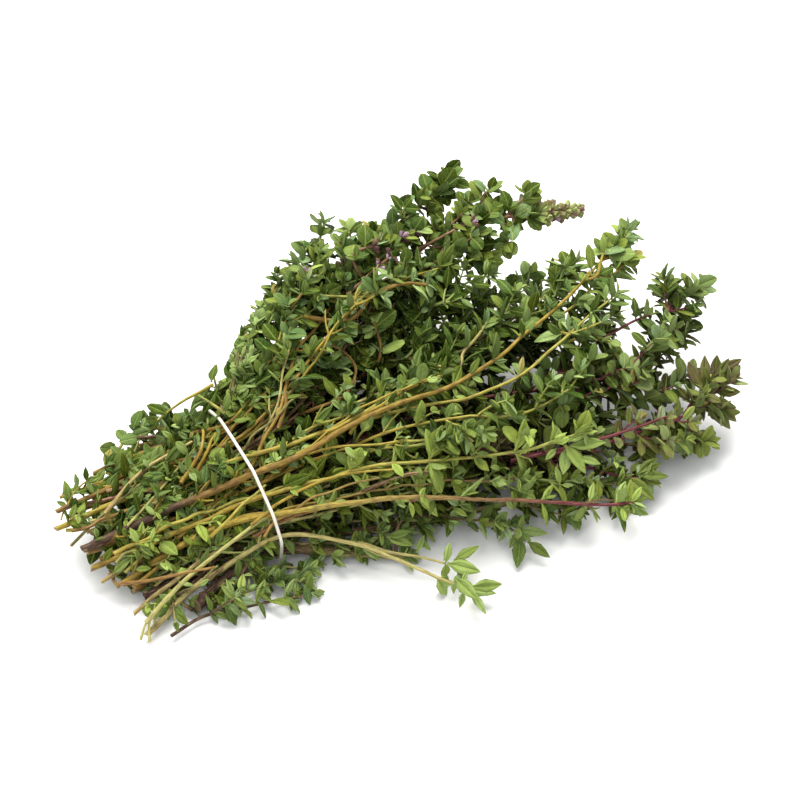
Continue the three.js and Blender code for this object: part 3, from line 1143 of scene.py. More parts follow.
def addTuft(foliage, rng, look, base, tangent, radial, size, settings=tuftSettings):
    # young leaves in the axil of a leaf
    axis = unit(between(tangent, radial, math.radians(rng.uniform(*settings["lean"]))))
    side = unit(np.cross(axis, radial))
    front = np.cross(side, axis)
    for pair in range(settings["pairs"]):
        spot = base + axis * (settings["start"] + settings["step"] * pair) * mm
        out = side if pair % 2 == 0 else front
        for sign in (-1, 1):
            addLeaf(foliage, rng, look, spot, axis, out * sign, rng.uniform(*settings["angle"]),
                    size * (settings["size"] - settings["smaller"] * pair) * rng.uniform(*settings["sizes"]),
                    look["tone"] + settings["brighter"], "young")


def addHead(foliage, rng, look, line, pairs, size, tone, settings=headSettings):
    # the leaves that crowd at a shoot's end, the outer ones wide open
    roll = rng.uniform(0, math.pi)
    for pair in range(pairs):
        share = pair / max(pairs - 1, 1)
        distance = max(line.length - (pairs - 1 - pair) * settings["step"] * size * mm, 0)
        shape = "young" if share > settings["youngFrom"] and pairs > 2 else None
        for flip in (0, math.pi):
            point, tangent, radial = directions(line, distance,
                                                roll + flip + rng.normal(0, settings["unevenRoll"]))
            angle = mix(*settings["angle"], share) + rng.normal(0, settings["unevenAngle"])
            addLeaf(foliage, rng, look, point, tangent, radial, angle,
                    size * mix(*settings["size"], share) * rng.uniform(*settings["sizes"]),
                    tone + settings["brighter"] * share, shape)
        roll += math.pi / 2 + rng.normal(0, settings["unevenTurn"])


def growShoot(foliage, stems, rng, look, line, start, radius, short=False, settings=pairSettings):
    # pairs of leaves from start to the tip, each pair a quarter turn from the last
    form = twigForm if short else stemForm
    roll = rng.uniform(0, math.pi)
    distance, knots = start, []
    spacing = look["shootSpacing" if short else "spacing"]
    tipSpacing = look["tipSpacing"] * form["tipSpacing"]
    head = look["shootHead" if short else "head"]
    headSize = look["leaf"] * look["tipLeaf"] * form["head"]
    addHead(foliage, rng, look, line, head, headSize, look["tone"] + look["tipTone"])
    while distance < line.length - headSettings["step"] * head * headSize * mm:
        left = line.length - distance
        near = math.exp(-left / (form["crown"] * mm))
        size = look["leaf"] * mix(1.0, look["tipLeaf"], near) * form["leaf"]
        knots.append(distance)
        for flip in (0, math.pi):
            point, tangent, radial = directions(line, distance,
                                                roll + flip + rng.normal(0, settings["unevenRoll"]))
            base = point + radial * radius * settings["foot"]
            angle = (mix(look["angle"], look["tipAngle"], near ** settings["closing"])
                     + rng.normal(0, settings["unevenAngle"]))
            onTop = max(0.0, radial @ lightSide) ** 2 if left > settings["openFrom"] * mm else 0.0
            if rng.random() > look["missing"] + look["open"] * onTop:
                addLeaf(foliage, rng, look, base, tangent, radial, angle,
                        size * rng.uniform(*settings["sizes"]), look["tone"] + look["tipTone"] * near)
            if short or abs(point[0] - bandX) < settings["besideBand"] * mm:
                continue
            if left > settings["branchFrom"] * mm and rng.random() < look["branch"]:
                growBranch(foliage, stems, rng, look, base, tangent, radial, distance / line.length)
            elif left > settings["tuftFrom"] * mm and rng.random() < look["tuft"]:
                addTuft(foliage, rng, look, base, tangent, radial, look["leaf"] * tuftSettings["leaf"])
        roll += math.pi / 2 + rng.normal(0, settings["unevenTurn"])
        distance += mix(spacing, tipSpacing, near) * mm * rng.uniform(*settings["steps"])
    return knots


def growBranch(foliage, stems, rng, look, base, tangent, radial, share, settings=branchSettings):
    # a short side shoot that leaves the stem and then turns towards the tip
    length = rng.uniform(*look["branchLength"]) * mix(1.0, settings["shorter"], share) * mm
    lift = settings["lift" if base[2] > settings["low"] * mm else "lowLift"]
    radial = unit(radial + lift * up)
    lean = math.radians(rng.uniform(*settings["lean"]))
    first = unit(between(tangent, radial, lean))
    last = unit(between(tangent, radial, lean * settings["straighten"])
                + rng.normal(0, settings["uneven"], 3))
    shares = np.linspace(0, 1, 5)[:, None]
    points = base + length * (first * shares + (last - first) * shares ** 2 * 0.5)
    points[:, 2] = np.maximum(points[:, 2], settings["aboveFloor"] * mm)
    addShoot(foliage, stems, rng, look, points, share, rng.uniform(*settings["radius"]), short=True)


def newStem(line, radii, **own):
    # what sweepStems, paintStem and clearStems need to know of a stem
    return {"line": line, "radii": radii, "wood": 0.0, "knots": [], "cut": True, "rooted": False,
            "show": 0.0, "showFrom": 0.0, "showTo": 1.0, **own}


def addShoot(foliage, stems, rng, look, points, share, radius, short=False, bare=1.5):
    # a side shoot with its leaves and its stem
    points = smoothLine(points, step=0.0015)
    if look["cut"] and not look["free"]:
        points = holdStem(points, radius * mm)
    line = Line(points)
    knots = growShoot(foliage, stems, rng, look, line, bare * mm, radius * mm, short)
    own = {"age": look.get("age", (mix(share, 1, 0.3) * look["oldTo"], look["oldTo"])),
           "flush": look["flush"] * share, "cut": look["cut"]}
    if not short:
        own.update({key: look[key] for key in ("show", "showFrom", "showTo")}, knots=knots)
    radii = np.linspace(radius, branchSettings["taper"] * radius, len(line.points)) * mm
    stems.append(newStem(line, radii, **own))
    return line


stemBuild = {
    # mm, unless said otherwise
    "square": (0.62, 0.62, 0.62, 0.62),  # how round each side of a section is: 1 is a circle
    "lumpy": (0.7, 1.15, 0.85, 1.25),
    "woodFade": 12,  # over this length the old wood of the cut end turns into bark
    "darkKnot": 0.7,  # half the length of a leaf scar's colour
    "thickKnot": 0.8,  # and of the swelling there
    "knotSwell": 0.16,  # share of the thickness
    "stub": (4, 0.2),  # length and share of the swelling at an old stem's cut end
    "lumps": (3, 0.06),  # length and share of a stem's unevenness
    "woodLumps": (1.6, 0.13),
    "redder": (2.2, 0.7),  # how fast the red comes in along a stem, and how much of it is held back
    "grainApart": 37.0,  # so that no two stems of a piece have the same grain
    "slant": (10, 38),  # degrees of the cut
    "cutOff": 1.4,
    "cutNear": 3,  # so near to a stem's end a face with many corners is its cut
}
pointsAtOnce = 400  # that paintStem compares with the stems


def stemProfile(name, bumps):
    # the cross-section that a stem's curve is given
    choose()
    bpy.ops.curve.primitive_bezier_circle_add(radius=1.0)
    profile = bpy.context.object
    profile.name = name
    profile.data.resolution_u = 2
    spline = profile.data.splines[0]
    for point, bump in zip(spline.bezier_points, bumps):
        centre = np.array(point.co)
        for handle in ("handle_left", "handle_right"):
            setattr(point, handle, tuple(centre + (np.array(getattr(point, handle)) - centre) * bump))
    return profile


squareProfile = stemProfile("squareProfile", stemBuild["square"])
woodyProfile = stemProfile("woodyProfile", stemBuild["lumpy"])


def sweepStems(name, stems, profile):
    # the stems as one curve with a bevel, then a mesh
    choose()
    bpy.ops.curve.primitive_nurbs_path_add(radius=mm)
    piece = bpy.context.object
    piece.name = name
    curve = piece.data
    curve.splines.clear()
    for stem in stems:
        points = stem["line"].points
        spline = curve.splines.new("POLY")
        spline.points.add(len(points) - 1)
        spline.points.foreach_set("co", np.column_stack([points, np.ones(len(points))]).ravel())
        spline.points.foreach_set("radius", stem["radii"])
    curve.dimensions = "3D"
    curve.twist_mode = "MINIMUM"
    curve.bevel_mode = "OBJECT"
    curve.bevel_object = profile
    curve.use_fill_caps = True
    bpy.ops.object.convert(target="MESH")
    piece = bpy.context.object
    bpy.ops.object.transform_apply(location=True, rotation=True, scale=True)
    editAll()
    bpy.ops.mesh.remove_doubles(threshold=1e-6)
    turnOutwards()
    return piece


def slantEnd(piece, line, rng, settings):
    # cuts the end off at a slant, as a knife does
    lean = math.radians(rng.uniform(*settings["slant"]))
    around = rng.uniform(0, 2 * math.pi)
    point, tangent, normal, side = line.at(settings["cutOff"] * mm)
    plane = unit(between(tangent, between(normal, side, around), lean))
    choose(piece)
    editAll()
    bpy.ops.mesh.bisect(plane_co=tuple(point), plane_no=tuple(plane), use_fill=True, clear_inner=True)
    bpy.ops.object.mode_set(mode="OBJECT")


def woodAlong(line, wood):
    # 1 on the first mm of a stem, as many as wood says, and 0 past them
    share = (wood * mm - line.far) / (stemBuild["woodFade"] * mm)
    return np.clip(share + 0.5, 0, 1) * float(wood > 0)


def nearKnots(line, knots, width):
    # 1 at each knot and 0 away from it
    near = np.zeros_like(line.far)
    for knot in knots:
        near = np.maximum(near, np.exp(-((line.far - knot) / (width * mm)) ** 2))
    return near


def paintStem(piece, stems, settings):
    # each vertex gets its place on the stem and the stem's look there
    points = verticesOf(piece.data)
    centres, normals, sides = (
        np.vstack([getattr(stem["line"], name) for stem in stems]) for name in ("points", "normals", "sides")
    )
    far, looks = [], []
    for number, stem in enumerate(stems):
        line = stem["line"]
        share = line.far / line.length
        slope, held = settings["redder"]
        red = share * slope - held if stem["rooted"] else np.ones_like(share)
        far.append(line.far / mm + settings["grainApart"] * number)
        looks.append(np.stack([
            mix(*stem["age"], share),
            np.clip(stem["flush"] * red, 0, 1),
            woodAlong(line, stem["wood"]),
            nearKnots(line, stem["knots"], settings["darkKnot"]),
        ], 1))
    nearest = np.concatenate([
        np.argmin(((block[:, None, :] - centres[None]) ** 2).sum(2), axis=1)
        for block in np.array_split(points, max(1, len(points) // pointsAtOnce))
    ])
    offsets = points - centres[nearest]
    across = [(offsets * ways[nearest]).sum(1) / mm for ways in (normals, sides)]
    place = np.stack([*across, np.concatenate(far)[nearest]], 1)
    ends = np.array([stem["line"].points[0] for stem in stems if stem["cut"]])
    cut = [len(face.vertices) > 4
           and np.linalg.norm(ends - np.array(face.center), axis=1).min() < settings["cutNear"] * mm
           for face in piece.data.polygons]
    addAttribute(piece.data, "grainPlace", "FLOAT_VECTOR", "POINT", "vector", place)
    addAttribute(piece.data, "stemLook", "FLOAT_COLOR", "POINT", "color", np.vstack(looks)[nearest])
    addAttribute(piece.data, "cutFace", "FLOAT", "FACE", "value", np.array(cut))


def finishPiece(piece, name, node, material, smoothAngle=50):
    # node is the CAD piece that this one stands for, if there is one
    choose(piece)
    bpy.ops.object.shade_smooth_by_angle(angle=math.radians(smoothAngle))
    piece.name = name
    piece.data.name = name
    piece.data.materials.clear()
    piece.data.materials.append(material)
    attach(piece, "root")
    if node:
        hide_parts(node)


print("sprigs")

# kinds of sprig: with thinner stems that run far past the band, with fewer leaves in the axils,
# with round leaves in the dome, short ones at the back, and long ones on top with little on them
farReaching = dict(reach=(80, 130), leafyEnd=(35, 60), sink=0.7)
airy = dict(tuft=0.65, missing=0.1)
domeSprig = dict(leaf=6.7, shape="round", reach=(60, 110), leafyEnd=(40, 70), sink=0.6, facing=1.9)
shortSprig = dict(shape="broad", sparse=0.75, reach=(30, 70), leafyEnd=(30, 60))
longStem = dict(sparse=0.5, tuft=0.8)
sprigLooks = {}


def sprig(number, bark, **own):
    # what sets a sprig apart from the growth settings
    sprigLooks[number] = {"bark": bark, **own}


sprig(1, "woody", tone=0.56, leaf=7, wood=34, thin=0.9, warm=0.4, purple=0.15, branch=0.12, show=0.6,
      showTo=0.24, spacing=8.5, showFrom=0, sparse=0.7, shape="lance", trim=40)
sprig(2, "woody", tone=0.57, leaf=7.2, wood=60, thin=0.9, warm=0.5, show=0.7, showTo=0.26, showFrom=0,
      sparse=0.7, shape="lance", trim=8)
sprig(3, "yellow", **airy, tone=0.59, flush=0.7, warm=0.7, purple=0.3, show=0.5, showTo=0.5,
      reach=(80, 125), leafyEnd=(30, 50), sink=0.6, trim=4)
sprig(4, "red", **farReaching, **airy, tone=0.57, leaf=7.6, purple=0.9, flush=1, warm=0.6, thin=0.85,
      trim=7)
sprig(5, "red", **farReaching, **airy, tone=0.39, leaf=7, purple=0.45, flush=0.9, warm=0.35,
      shape="broad")
sprig(6, "woody", tone=0.27, thin=0.75, warm=0.4)
sprig(7, "yellow", tone=0.33, shape="broad", warm=0.25, show=0.4, showTo=0.45)
sprig(8, "yellow", tone=0.31, shape="broad", warm=0.2)
sprig(9, "green", tone=0.82, leaf=7.8, branch=0, sparse=0.05, thin=0.78, warm=0.6, spacing=11,
      leafyTip=5, companions=0, show=0.95, tipLeaf=0.8, head=2, tuft=0.3, facing=1.7, showFrom=0,
      trim=12, oldTo=0.35, oldFrom=0.2)
sprig(10, "green", tone=0.58, warm=0.65, purple=0.1, show=0.5, showTo=0.5, shape="lance")
sprig(11, "green", **farReaching, **airy, tone=0.53, purple=0.15)
sprig(12, "red", **farReaching, **airy, tone=0.41, purple=0.2, flush=0.8, warm=0.35, shape="broad")
# sprigs 13, 14, 15 and 20 lie in the middle of the bunch under the others; their low tones are partly their
# own darker green and partly painted shade
sprig(13, "green", **farReaching, tone=0.24, warm=0.4)
sprig(14, "yellow", tone=0.2, shape="broad", warm=0.25, show=0.5, showTo=0.45)
sprig(15, "green", tone=0.23, shape="lance", warm=0.25)
sprig(16, "yellow", tone=0.4, leaf=6.4, shape="broad", warm=0.3, reach=(20, 45), leafyEnd=(20, 40),
      sparse=0.75, trim=5)
sprig(17, "yellow", **longStem, tone=0.54, flush=0.8, thin=0.85, branch=0.3, spacing=12, warm=0.75,
      show=0.8, showTo=0.97, oldFrom=0.3, trim=5, lift=3, shape="lance", tipLeaf=0.85)
sprig(18, "yellow", **longStem, tone=0.64, leaf=8.6, thin=0.75, branch=0.25, spacing=11, warm=1,
      show=0.6, showTo=0.9, oldFrom=0.3, trim=8, head=2, tipLeaf=0.7)
sprig(19, "yellow", leaf=7.2, sparse=0.5, branch=0.3, spacing=9.5, show=0.6, showTo=0.7)
sprig(20, "green", **farReaching, **airy, tone=0.34, shape="lance", leaf=7.8, warm=0.4)
sprig(21, "red", **domeSprig, tone=0.36, flush=0.1, oldTo=0.4, warm=0.4)
sprig(22, "woody", **domeSprig, tone=0.28, warm=0.3)
sprig(23, "yellow", **shortSprig, tone=0.38, leaf=6.6, warm=0.35, companions=3, trim=3)
sprig(24, "yellow", **longStem, tone=0.48, leaf=7, wood=34, thin=0.75, branch=0.15, spacing=12,
      warm=0.4, show=0.8, showTo=0.93, showFrom=0, shape="broad", facing=1.8, oldTo=0.5)
sprig(25, "yellow", **longStem, tone=0.49, thin=0.7, branch=0.2, spacing=11, show=0.75, showTo=0.9,
      oldFrom=0.5, oldTo=0.8)
sprig(26, "yellow", tone=0.33, leaf=7.8, shape="lance", sparse=0.5, warm=0.4, spacing=9, show=0.6,
      showTo=0.7, oldTo=0.6)
sprig(27, "yellow", **shortSprig, tone=0.4, leaf=6.8, warm=0.3)
sprig(28, "woody", **shortSprig, tone=0.5, leaf=6.6, thin=0.8, companions=3, trim=2)

straggly = dict(branch=0.1, tuft=0.35, spacing=8.0)  # thin leafy stems at the cut end
leaflessTwig = dict(bare=99, head=0)
bareTwig = dict(cut=True, **leaflessTwig)


longShoots = {}


def shoot(sprig, *route, **own):
    # a side shoot whose route is given: its sprig, the places it passes, in mm, and what sets it apart
    longShoots.setdefault(sprig, []).append({"route": route, **own})


shoot(1, (-82, -11, 4), (-69, -15, 4), (-57, -21, 4), (-50, -26, 3), (-45, -30, 3), free=True, tone=0.5)
shoot(1, (-14, -26, 7), (-6, -28, 7), (1, -33, 7), (10, -38, 6), (13, -43, 5), tone=0.58, bare=10, head=1,
      flush=0.9, shape="lance", spacing=5, branch=0.1,
      blades=[(13, -43, 6, 20, -48, 6), (13, -45, 5, 8, -52, 3), (14, -47, 5, 17, -54, 4),
              (13, -43, 5, 9, -46, 4), (13, -45, 7, 14, -49, 7)])
shoot(1, (20, -38, 7), (25, -42, 6), (29, -45, 5), tone=0.58, bare=2, shape="lance", cut=True, radius=0.35)
shoot(1, (-31, -25, 4), (-19, -27, 5), (-6, -28, 5), tone=0.5)
shoot(1, (-84, -29, 2), (-74, -27, 2), (-65, -29, 2), (-55, -31, 2), (-45, -34, 2), cut=True, bare=12,
      head=4, spacing=4.5, tuft=0.5, radius=0.5, age=(0.1, 0.5), show=0.5, free=True)
shoot(1, (-72, -21, 2), (-65, -24, 2), (-56, -26, 3), (-49, -27, 3), free=True, tone=0.5)
shoot(1, (-57, -21, 3), (-49, -23, 4), (-42, -27, 3), free=True, tone=0.56)
shoot(2, (-78, -20, 4), (-76, -23, 3), (-67, -25, 3), tone=0.46)
shoot(2, (40, -37, 6), (49, -41, 6), (57, -44, 6), tone=0.6)
shoot(2, (18, -35, 6), (27, -41, 6), (33, -44, 5), tone=0.56)
shoot(2, (-26, -22, 20), (-20, -24, 23), (-17, -25, 24), (-12, -26, 25), (-6, -27, 24), **bareTwig,
      radius=0.7, age=(0.3, 0.6), show=0.6)
shoot(3, (59, -34, 9), (68, -36, 9), (74, -37, 9), tone=0.56)
shoot(3, (-54, -17, 13), (-46, -17, 15), (-38, -20, 18), (-30, -26, 21), (-21, -30, 21), **bareTwig,
      radius=0.5, age=(0.1, 0.5), show=0.8)
shoot(4, (75, -33, 15), (82, -34, 14), (85, -37, 13), purple=1, tone=0.46, head=3)
shoot(4, (76, -32, 15), (81, -31, 17), (85, -29, 19), purple=1, tone=0.46, head=3, leaf=6.5,
      blades=[(82, -30, 16, 83, -20, 19), (83, -30, 17, 88, -21, 20), (87, -28, 18, 91, -23, 21),
              (87, -29, 18, 93, -26, 21), (90, -27, 18, 97, -27, 20), (87, -31, 17, 95, -30, 18),
              (85, -32, 16, 92, -35, 16), (83, -33, 15, 89, -38, 14), (82, -33, 14, 84, -42, 11),
              (83, -33, 14, 87, -41, 12), (76, -32, 15, 82, -34, 16), (77, -31, 15, 76, -25, 17),
              (83, -30, 18, 89, -29, 20), (84, -29, 19, 88, -33, 19), (80, -32, 13, 79, -36, 11),
              (81, -33, 18, 85, -33, 20)])
shoot(4, (36, -28, 8), (42, -34, 8), (48, -41, 8), (52, -44, 8), tone=0.6, bare=99, head=1, tipLeaf=0.7,
      flush=1, show=0.8, purple=0.3,
      blades=[(49, -42, 8, 53, -51, 6), (52, -43, 9, 59, -42, 11), (52, -44, 9, 59, -48, 10),
              (53, -44, 8, 57, -48, 7), (54, -43, 9, 59, -44, 11), (51, -41, 8, 55, -39, 9)])
shoot(4, (18, -30, 19), (35, -33, 19), (50, -35, 19), (66, -35, 18), **bareTwig, radius=0.55, flush=1,
      show=0.75)
shoot(5, (50, -19, 18), (62, -18, 20), (72, -14, 20))
shoot(5, (78, -11, 18), (86, -9, 19), (93, -5, 20), tone=0.32)
shoot(5, (65, -23, 14), (75, -21, 14), (85, -20, 13))
shoot(6, (-98, 4, 12), (-88, 8, 14), (-75, 9, 20), **bareTwig, radius=0.45)
shoot(7, (-74, 6, 14), (-60, 8, 18), (-48, 12, 22), (-43, 14, 27), (-37, 16, 29), (-32, 17, 30), cut=True,
      bare=42, head=2, show=0.7, radius=0.6, age=(0.2, 0.3))
shoot(9, (-27, -29, 8), (-22, -34, 7), (-16, -39, 7), (-10, -44, 6), tone=0.84, branch=0, bare=99,
      head=1, tipLeaf=0.7, show=0.9, warm=0.6,
      blades=[(-8, -45, 7, 0, -45, 9), (-10, -45, 7, -3, -51, 6), (-10, -43, 6, -7, -42, 7),
              (-7, -46, 5, -8, -50, 4), (-15, -37, 6, -11, -34, 8), (-20, -29, 7, -15, -35, 7),
              (-20, -30, 8, -14, -32, 9), (-13, -34, 7, -11, -38, 6)])
shoot(9, (-27, -33, 9), (-24, -36, 8), (-22, -38, 8), **leaflessTwig, tone=0.92, branch=0, radius=0.3,
      warm=0.6,
      blades=[(-27, -27, 6, -24, -33, 4), (-8, -55, 7, -1, -59, 8), (-9, -58, 6, -8, -65, 4),
              (-10, -55, 5, -13, -58, 3), (-11, -51, 8, -9, -60, 7), (-9, -53, 4, -2, -58, 4),
              (-10, -49, 4, -12, -52, 3), (-10, -53, 7, -7, -51, 9)])
shoot(9, (-89, -25, 6), (-81, -22, 9), (-72, -19, 11), (-54, -16, 16), (-45, -15, 17), **bareTwig,
      radius=0.7, age=(0.45, 0.6), show=0.95)
shoot(9, (-92, -28, 4), (-89, -25, 6), (-86, -24, 7), **bareTwig, radius=0.4, age=(0.5, 0.6))
shoot(9, (-90, -29, 3), (-88, -25, 6), (-85, -24, 7), **bareTwig, radius=0.4, age=(0.5, 0.6))
shoot(10, (-42, 3, 22), (-33, 10, 30), (-28, 17, 34), (-24, 21, 37), tone=0.44, age=(0.0, 0.3))
shoot(11, (-83, 0, 16), (-74, 4, 18), (-67, 8, 19), (-57, 12, 23), cut=True, bare=5, head=2, radius=0.4,
      leaf=5.2, branch=0, tuft=0.3, age=(0.5, 0.9))
shoot(12, (41, -19, 20), (53, -14, 22), (63, -10, 23), tone=0.42)
shoot(12, (45, -11, 24), (56, -8, 25), (64, -4, 26), tone=0.42)
shoot(12, (87, -3, 27), (89, 1, 28), (90, 5, 29), tone=0.34)
shoot(12, (58, -8, 24), (61, -6, 25), (68, -6, 27), (73, -6, 28), (78, -6, 28), tone=0.34, bare=9,
      show=0.8, radius=0.6, flush=0.5)
shoot(13, (-87, 3, 10), (-69, 4, 12), (-52, 6, 14), **straggly)
shoot(13, (-87, 6, 17), (-73, 13, 20), (-57, 15, 22), **bareTwig, radius=0.6, age=(0.0, 0.2))
shoot(14, (-23, 7, 26), (-14, 7, 27), (-7, 14, 27), (-7, 19, 29), (-10, 23, 31), bare=24, show=0.8,
      radius=0.6, age=(0.0, 0.1), tone=0.54, branch=0, head=3, leaf=8)
shoot(14, (2, 18, 23), (4, 20, 27), (4, 22, 30), (4, 24, 33), bare=9, show=0.9, radius=0.7, age=(0.0, 0.1),
      tone=0.54, branch=0, head=3, leaf=8.4)
shoot(15, (8, 15, 24), (19, 22, 27), (29, 27, 28), tone=0.34)
shoot(15, (16, 12, 23), (29, 18, 26), (41, 25, 28), tone=0.34)
shoot(15, (12, 23, 27), (24, 28, 28), (33, 30, 29), tone=0.34)
shoot(15, (23, 20, 35), (33, 24, 35), (43, 25, 34), tone=0.3)
shoot(15, (-49, 23, 20), (-52, 18, 18), (-60, 11, 15), **straggly)
shoot(15, (11, 12, 25), (16, 17, 28), (23, 25, 31), bare=12, radius=0.55, branch=0.1, flush=1)
shoot(15, (16, 2, 28), (22, 4, 30), (27, 5, 33), (31, 7, 35), bare=16, radius=0.65, age=(0.1, 0.3),
      branch=0.1)
shoot(16, (-44, 30, 25), (-48, 29, 25), (-53, 29, 24), (-58, 29, 22), (-62, 28, 21), tone=0.44, cut=True,
      free=True, bare=14, head=3, radius=0.5, age=(0.6, 0.8), show=0.95,
      blades=[(-45, 30, 24, -53, 27, 22), (-44, 31, 25, -40, 37, 26), (-43, 29, 24, -50, 24, 21),
              (-59, 28, 22, -63, 34, 23)])
shoot(16, (-52, 31, 15), (-60, 34, 14), (-65, 35, 13), tone=0.5)
shoot(16, (-80, 23, 13), (-70, 24, 14), (-57, 26, 16), **straggly)
shoot(16, (-46, 17, 26), (-48, 21, 27), (-50, 26, 27), cut=True, free=True, bare=1, head=3, leaf=6.5,
      branch=0)
shoot(16, (-78, -8, 10), (-62, -5, 15), (-48, -1, 20), (-40, 3, 28), (-34, 7, 33), (-29, 15, 36),
      (-23, 24, 37), cut=True, bare=62, show=0.9, head=3, radius=0.6, age=(0.1, 0.3), branch=0.0)
shoot(17, (36, -44, 8), (42, -47, 7), tone=0.66, bare=99, head=1, tipLeaf=0.8, warm=0.5, radius=0.4,
      flush=1,
      blades=[(42, -47, 7, 48, -51, 8), (42, -46, 7, 44, -44, 8), (43, -47, 6, 40, -49, 5),
              (42, -48, 6, 42, -52, 4), (44, -49, 6, 48, -55, 6), (46, -49, 7, 48, -53, 7),
              (44, -48, 8, 48, -48, 9)])
shoot(17, (-90, -6, 6), (-77, -7, 8), (-59, -7, 10), **straggly)
shoot(17, (-91, -11, 8), (-84, -17, 12), (-74, -20, 13), (-67, -21, 12), **bareTwig, radius=0.55,
      age=(0.35, 0.5), show=0.95)
shoot(17, (-52, -20, 15), (-44, -20, 18), (-37, -19, 21), (-32, -20, 22), (-26, -22, 24), (-19, -24, 25),
      **bareTwig, radius=0.45, age=(0.4, 0.8), show=0.8)
shoot(18, (30, -34, 24), (32, -35, 23), **leaflessTwig, tone=0.96, warm=0.75, radius=0.3,
      blades=[(33, -36, 23, 42, -40, 24), (32, -35, 23, 34, -44, 20), (33, -35, 22, 28, -41, 19),
              (32, -33, 23, 33, -28, 25), (34, -39, 21, 39, -43, 20), (33, -35, 24, 39, -36, 26),
              (30, -34, 22, 26, -35, 20)])
shoot(18, (-54, -16, 17), (-44, -15, 20), (-37, -15, 22), (-29, -18, 25), (-21, -21, 26), (-15, -25, 27),
      **bareTwig, radius=0.45, age=(0.3, 0.6), show=0.3)
shoot(19, (-83, 12, 13), (-71, 15, 15), (-59, 20, 17), **straggly)
shoot(19, (-88, -9, 9), (-82, -8, 12), (-76, -6, 14), **bareTwig, radius=0.4, age=(0.7, 0.7))
shoot(19, (-65, -14, 16), (-60, -13, 18), (-52, -10, 20), (-46, -11, 23), **bareTwig, radius=0.5,
      age=(0.5, 0.8))
shoot(20, (29, 7, 30), (48, 11, 30), (58, 16, 29), (69, 22, 29), shape="oval", tone=0.36)
shoot(21, (0, 36, 41), (5, 38, 45), (9, 39, 46), (12, 38, 47), (15, 37, 48), cut=True, bare=99, head=1,
      radius=0.5, age=(0.2, 0.35), flush=0.1, show=0.9, whorls=[0.5, 4.5])
shoot(21, (28, 42, 37), (33, 41, 39), (37, 40, 41), (42, 41, 41), (46, 40, 42), cut=True, bare=99, head=1,
      radius=0.5, age=(0.2, 0.3), flush=0.1, show=0.9, whorls=[1.0])
shoot(21, (58, 43, 37), (64, 44, 40), (68, 47, 40))
shoot(21, (51, 46, 38), (54, 50, 41), (58, 51, 42))
shoot(21, (60, 42, 37), (58, 39, 34), (54, 36, 32))
shoot(21, (46, 45, 38), (45, 48, 40), (49, 49, 42))
shoot(21, (26, 34, 34), (34, 35, 35), (42, 38, 34), (47, 36, 31), flush=0.8)
shoot(21, (35, 42, 36), (45, 41, 34), (48, 34, 30), flush=0.8)
shoot(21, (5, 39, 45), (12, 40, 46), (18, 41, 45), bare=9, radius=0.6, age=(0.2, 0.3), whorls=[2.0, 6.0],
      branch=0, head=2)
shoot(22, (38, 53, 40), (41, 56, 41), (44, 58, 42), tone=0.26, leaf=6, bare=3, bladeShape="round",
      age=(0.2, 0.3), flush=0.5,
      blades=[(48, 62, 43, 53, 62, 47), (49, 59, 42, 52, 54, 42), (47, 60, 42, 40, 62, 43),
              (46, 61, 43, 42, 63, 46), (44, 59, 41, 39, 61, 41), (44, 58, 40, 41, 57, 37),
              (45, 58, 40, 45, 54, 38), (46, 58, 41, 48, 55, 39), (45, 56, 44, 49, 56, 46)])
shoot(22, (8, 45, 38), (11, 52, 40), (12, 56, 41), tone=0.38)
shoot(22, (-3, 37, 34), (-2, 45, 38), (0, 51, 39), tone=0.42, whorls=[4.0])
shoot(22, (13, 38, 42), (21, 41, 44), (29, 43, 44), tone=0.34, whorls=[2.5, 7.0])
shoot(23, (-31, 33, 30), (-28, 38, 30), (-22, 43, 31), tone=0.5)
shoot(23, (-17, 33, 41), (-12, 35, 44), (-9, 40, 45), bare=8, radius=0.5, age=(0.1, 0.3), whorls=[1.0],
      branch=0, head=2)
shoot(24, (77, 14, 36), (83, 17, 38), (87, 20, 38), tone=0.62, bare=2, spacing=4.5, branch=0, head=6)
shoot(24, (72, 8, 34), (78, 10, 34), (83, 13, 33), tone=0.56, bare=3, spacing=4.5, branch=0)
shoot(24, (68, 8, 36), (72, 12, 37), (76, 16, 38), tone=0.5, bare=3, branch=0)
shoot(25, (-97, 14, 12), (-95, 17, 12), **bareTwig, tone=0.6, radius=0.3,
      blades=[(-94, 18, 12, -97, 17, 12), (-94, 17, 13, -96, 20, 13), (-95, 18, 12, -95, 15, 11)])
shoot(25, (47, -7, 31), (55, -7, 30), (62, -10, 28), tone=0.56)
shoot(25, (48, 0, 31), (53, 3, 31), (61, 5, 32), (67, 8, 33), tone=0.5, bare=3)
shoot(25, (-44, -4, 18), (-38, -5, 22), (-30, -7, 25), (-24, -10, 27), (-15, -15, 28), (-7, -17, 28),
      **bareTwig, radius=0.45, age=(0.3, 0.7), show=0.4)
shoot(25, (-24, -6, 30), (-14, -5, 31), (-2, -1, 30), (6, 3, 29), bare=14, spacing=8, radius=0.55,
      age=(0.5, 0.9), branch=0.2)
shoot(26, (-20, -8, 28), (-15, -6, 31), (-10, -6, 32), (-4, -5, 33), (1, -6, 35), (10, -5, 34), cut=True,
      bare=20, head=3, radius=0.55, age=(0.3, 0.6), show=0.8, branch=0.1)
shoot(27, (-19, 24, 32), (-16, 35, 34), (-10, 42, 36), tone=0.46, whorls=[3.0])
shoot(27, (-1, 33, 36), (5, 44, 40), (7, 51, 41), tone=0.4, whorls=[3.0, 8.0])
shoot(27, (-65, 5, 19), (-61, 7, 21), (-57, 9, 24), (-54, 14, 24), (-53, 17, 23), **bareTwig, radius=0.65,
      age=(0.3, 0.3))
shoot(27, (-60, 6, 20), (-56, 8, 23), (-53, 11, 24), (-50, 15, 22), **bareTwig, radius=0.5, age=(0.4, 0.4))
